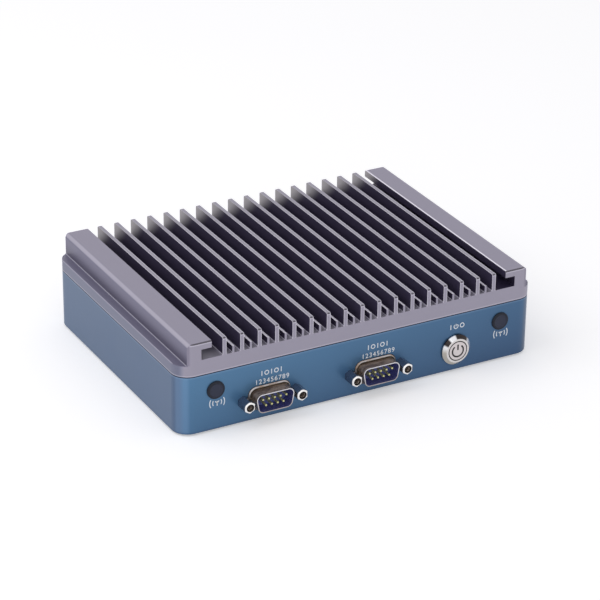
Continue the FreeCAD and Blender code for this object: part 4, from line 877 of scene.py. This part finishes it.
class COMPUTER_OT_inner(bpy.types.Operator):
    """Boards, cards and the heat path inside the housing"""
    bl_idname = "computer.inner"
    bl_label = "Inner parts"

    def execute(self, context):
        boards = ["mainboard", "memory_module", "storage_module", "wireless_module"]
        for label, metallic, roughness, names in (
                ("solder_resist", 0.0, 0.35, boards), ("package", 0.0, 0.5, ["processor"]),
                ("pad", 0.0, 0.8, ["thermal_pad"]), ("milled", 0.9, 0.35, ["heat_block"]),
                ("turned_brass", 1.0, 0.3, ["standoffs"]),
                ("nickel_nut", 1.0, 0.3, ["button_nut", "power_jack_nut"])):
            paint_plain(label, SHADES[label], roughness, names, metallic=metallic)
        return {"FINISHED"}


class COMPUTER_OT_print(bpy.types.Operator):
    """Printed signs on the front panel"""
    bl_idname = "computer.print"
    bl_label = "Printed signs"

    def execute(self, context):
        details = context.scene.computer_details
        ink = Finish("panel_ink", specular=0.3)
        ink.dress(context.scene.computer_finishes.ink, 0.6, grain=0.2 * MM, uneven=0.05)
        height = details.print_height
        for name in ("serial_left", "serial_right"):
            shell = name + "_shell"
            self.sign(name, port_sign(*mark_place("port", shell), height), ink, details)
            numbers(name + "_numbers", *mark_place("numbers", shell), height, details, ink.material)
        self.sign("button", switch_sign(*mark_place("switch", "button_housing"), height), ink, details)
        for name in ANTENNA_PLUGS:
            self.sign(name, aerial_sign(*mark_place("aerial", name), height), ink, details)
        return {"FINISHED"}

    def sign(self, name, paths, ink, details):
        """One printed sign on the front panel."""
        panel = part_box("chassis_frame")[0].y
        mesh = sign_mesh(name + "_sign", paths, details.print_stroke, panel, details.mark_height)
        piece(name + "_sign", mesh, ink.material)


def mark_place(kind, fitting):
    """Middle and level of a kind of printed mark near its fitting."""
    right, share, above = MARK_PLACES[kind]
    low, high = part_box(fitting)
    return (low.x + high.x) / 2 + right, low.z + share * (high.z - low.z) + above


def port_sign(middle, level, height):
    """Three upright bars with a ring between each two."""
    half = height / 2
    step = 2.3 * MM
    bars = [line((middle + place * step, level - half), (middle + place * step, level + half))
            for place in (-2, 0, 2)]
    rings = [arc((middle + place * step, level), 0.8 * half, 0, 360, 28) for place in (-1, 1)]
    return bars + rings


def switch_sign(middle, level, height):
    """Upright bar, a small open ring with its stem, and a closed ring."""
    half = height / 2
    step = 3.1 * MM
    return [line((middle - 0.85 * step, level - half), (middle - 0.85 * step, level + half)),
            arc((middle, level), 0.9 * half, 90 + 40, 90 + 320, 24),
            line((middle, level), (middle, level + 1.05 * half)),
            arc((middle + step, level), 0.85 * half, 0, 360, 28)]


def aerial_sign(middle, level, height):
    """Mast with two waves on each side."""
    half = height / 2
    waves = [arc((middle, level + 0.3 * half), radius, start, start + 64, 12)
             for radius in (2.1 * MM, 3.5 * MM) for start in (-32, 148)]
    return waves + [line((middle, level - half), (middle, level + half)),
                    line((middle - 0.8 * half, level + half), (middle, level + 0.1 * half)),
                    line((middle + 0.8 * half, level + half), (middle, level + 0.1 * half))]


def numbers(name, middle, level, height, details, material):
    """Row of the nine contact numbers, made a mesh and moved as whole arrays onto the panel."""
    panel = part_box("chassis_frame")[0].y
    curve = bpy.data.curves.new(name + "_text", "FONT")
    curve.body = "1 2 3 4 5 6 7 8 9"
    curve.align_x = "CENTER"
    curve.align_y = "CENTER"
    curve.size = 1.35 * height
    curve.space_character = 0.82
    curve.offset = 0.012 * height
    curve.extrude = details.mark_height
    text = bpy.data.objects.new(name + "_text", curve)
    bpy.context.scene.collection.objects.link(text)
    bpy.context.view_layer.update()
    mesh = bpy.data.meshes.new_from_object(text.evaluated_get(bpy.context.evaluated_depsgraph_get()))
    bpy.data.objects.remove(text)
    points = np.empty(len(mesh.vertices) * 3, np.float32)
    mesh.vertices.foreach_get("co", points)
    points = points.reshape(-1, 3)
    placed = np.stack([points[:, 0] + middle, panel - points[:, 2], points[:, 1] + level], axis=1)
    mesh.vertices.foreach_set("co", placed.astype(np.float32).ravel())
    mesh.update()
    outward_faces(mesh)
    piece(name, mesh, material)


# ----------------------------
# Stage
# ----------------------------

class COMPUTER_OT_stage(bpy.types.Operator):
    """Pale floor, white surroundings, soft lamps and the camera"""
    bl_idname = "computer.stage"
    bl_label = "Studio"

    def execute(self, context):
        scene = context.scene
        stage = scene.computer_stage
        scene.view_settings.view_transform = "Standard"
        self.camera(scene, stage)
        self.surroundings(scene, stage)
        self.floor(stage)
        lamp("key_lamp", (-0.55, 0.15, 0.75), 0.7, stage.key_power)
        lamp("front_lamp", (-0.25, -1.0, 0.45), 0.8, stage.fill_power)
        return {"FINISHED"}

    def camera(self, scene, stage):
        """Camera at the set place, which the scene looks through."""
        data = bpy.data.cameras.new("camera")
        data.lens = stage.lens
        data.sensor_width = 36.0
        data.clip_start = 0.01
        data.clip_end = 50.0
        camera = bpy.data.objects.new("camera", data)
        camera.location = stage.camera_place
        camera.rotation_euler = stage.camera_turn
        scene.collection.objects.link(camera)
        scene.camera = camera

    def surroundings(self, scene, stage):
        """World that lights evenly and looks white to the camera and in reflections."""
        world = bpy.data.worlds.new("surroundings")
        world.use_nodes = True
        background = world.node_tree.nodes["Background"].inputs
        background["Color"].default_value = (1, 1, 1, 1)
        seen = seen_directly(world.node_tree)
        send(maths("MULTIPLY_ADD", seen, 1.0 - stage.sky, stage.sky), background["Strength"])
        scene.world = world

    def floor(self, stage):
        """Large disc just under the feet, whose rings reach from the middle to the rim."""
        rings, sides = 12, 64
        reach = np.linspace(0.02, 12.0, rings)
        turn = np.linspace(0, 2 * math.pi, sides, endpoint=False)
        points = np.stack([reach[:, None] * np.cos(turn), reach[:, None] * np.sin(turn),
                           np.full((rings, sides), -0.02 * MM)], axis=-1)
        mesh = grid_mesh("floor", points, False, True, caps=[range(sides)])
        made = bpy.data.objects.new("floor", mesh)
        bpy.context.scene.collection.objects.link(made)
        finish = Finish("floor_white", specular=0.0)
        finish.shader["Base Color"].default_value = (0.845, 0.84, 0.865, 1)
        finish.shader["Roughness"].default_value = 1.0
        finish.shader["Emission Color"].default_value = (1, 1, 1, 1)
        send(times(seen_directly(finish.tree), stage.floor_glow), finish.shader["Emission Strength"])
        mesh.materials.append(finish.material)


def seen_directly(tree):
    """One for rays from the camera and for those mirrored or passed on to it."""
    path = add("LightPath", tree=tree).outputs
    seen = maths("MAXIMUM", path["Is Camera Ray"], path["Is Glossy Ray"])
    return maths("MAXIMUM", seen, path["Is Transmission Ray"])


def lamp(name, place, size, power):
    """Square soft lamp that looks at the middle of the part."""
    data = bpy.data.lights.new(name, "AREA")
    data.shape = "SQUARE"
    data.size = size
    data.energy = power
    made = bpy.data.objects.new(name, data)
    made.location = place
    made.rotation_euler = (Vector((0, 0, 0.02)) - Vector(place)).to_track_quat("-Z", "Y").to_euler()
    bpy.context.scene.collection.objects.link(made)


# ----------------------------
# Panel and running order
# ----------------------------

STEPS = (COMPUTER_OT_lid, COMPUTER_OT_housing, COMPUTER_OT_underside, COMPUTER_OT_serial,
         COMPUTER_OT_button, COMPUTER_OT_plugs, COMPUTER_OT_rear_ports, COMPUTER_OT_inner,
         COMPUTER_OT_print, COMPUTER_OT_stage)
SETTINGS = {"computer_finishes": COMPUTER_PG_finishes, "computer_details": COMPUTER_PG_details,
            "computer_stage": COMPUTER_PG_stage}


class COMPUTER_PT_panel(bpy.types.Panel):
    """Lists the steps and their settings in the sidebar"""
    bl_idname = "COMPUTER_PT_panel"
    bl_label = "Fanless computer"
    bl_space_type = "VIEW_3D"
    bl_region_type = "UI"
    bl_category = "Computer"

    def draw(self, context):
        for step in STEPS:
            self.layout.operator(step.bl_idname)
        for name, group in SETTINGS.items():
            box = self.layout.box()
            for key in group.__annotations__:
                box.prop(getattr(context.scene, name), key)


CLASSES = (*SETTINGS.values(), *STEPS, COMPUTER_PT_panel)


def register():
    """Make the classes known, and hang the settings on the scene."""
    for cls in CLASSES:
        bpy.utils.register_class(cls)
    for name, group in SETTINGS.items():
        setattr(bpy.types.Scene, name, PointerProperty(type=group))


def unregister():
    """Take the settings and the classes away again."""
    for name in SETTINGS:
        delattr(bpy.types.Scene, name)
    for cls in reversed(CLASSES):
        bpy.utils.unregister_class(cls)


def main():
    """Run every step in order."""
    register()
    for step in STEPS:
        group, call = step.bl_idname.split(".")
        getattr(getattr(bpy.ops, group), call)()


if __name__ == "__main__":
    main()
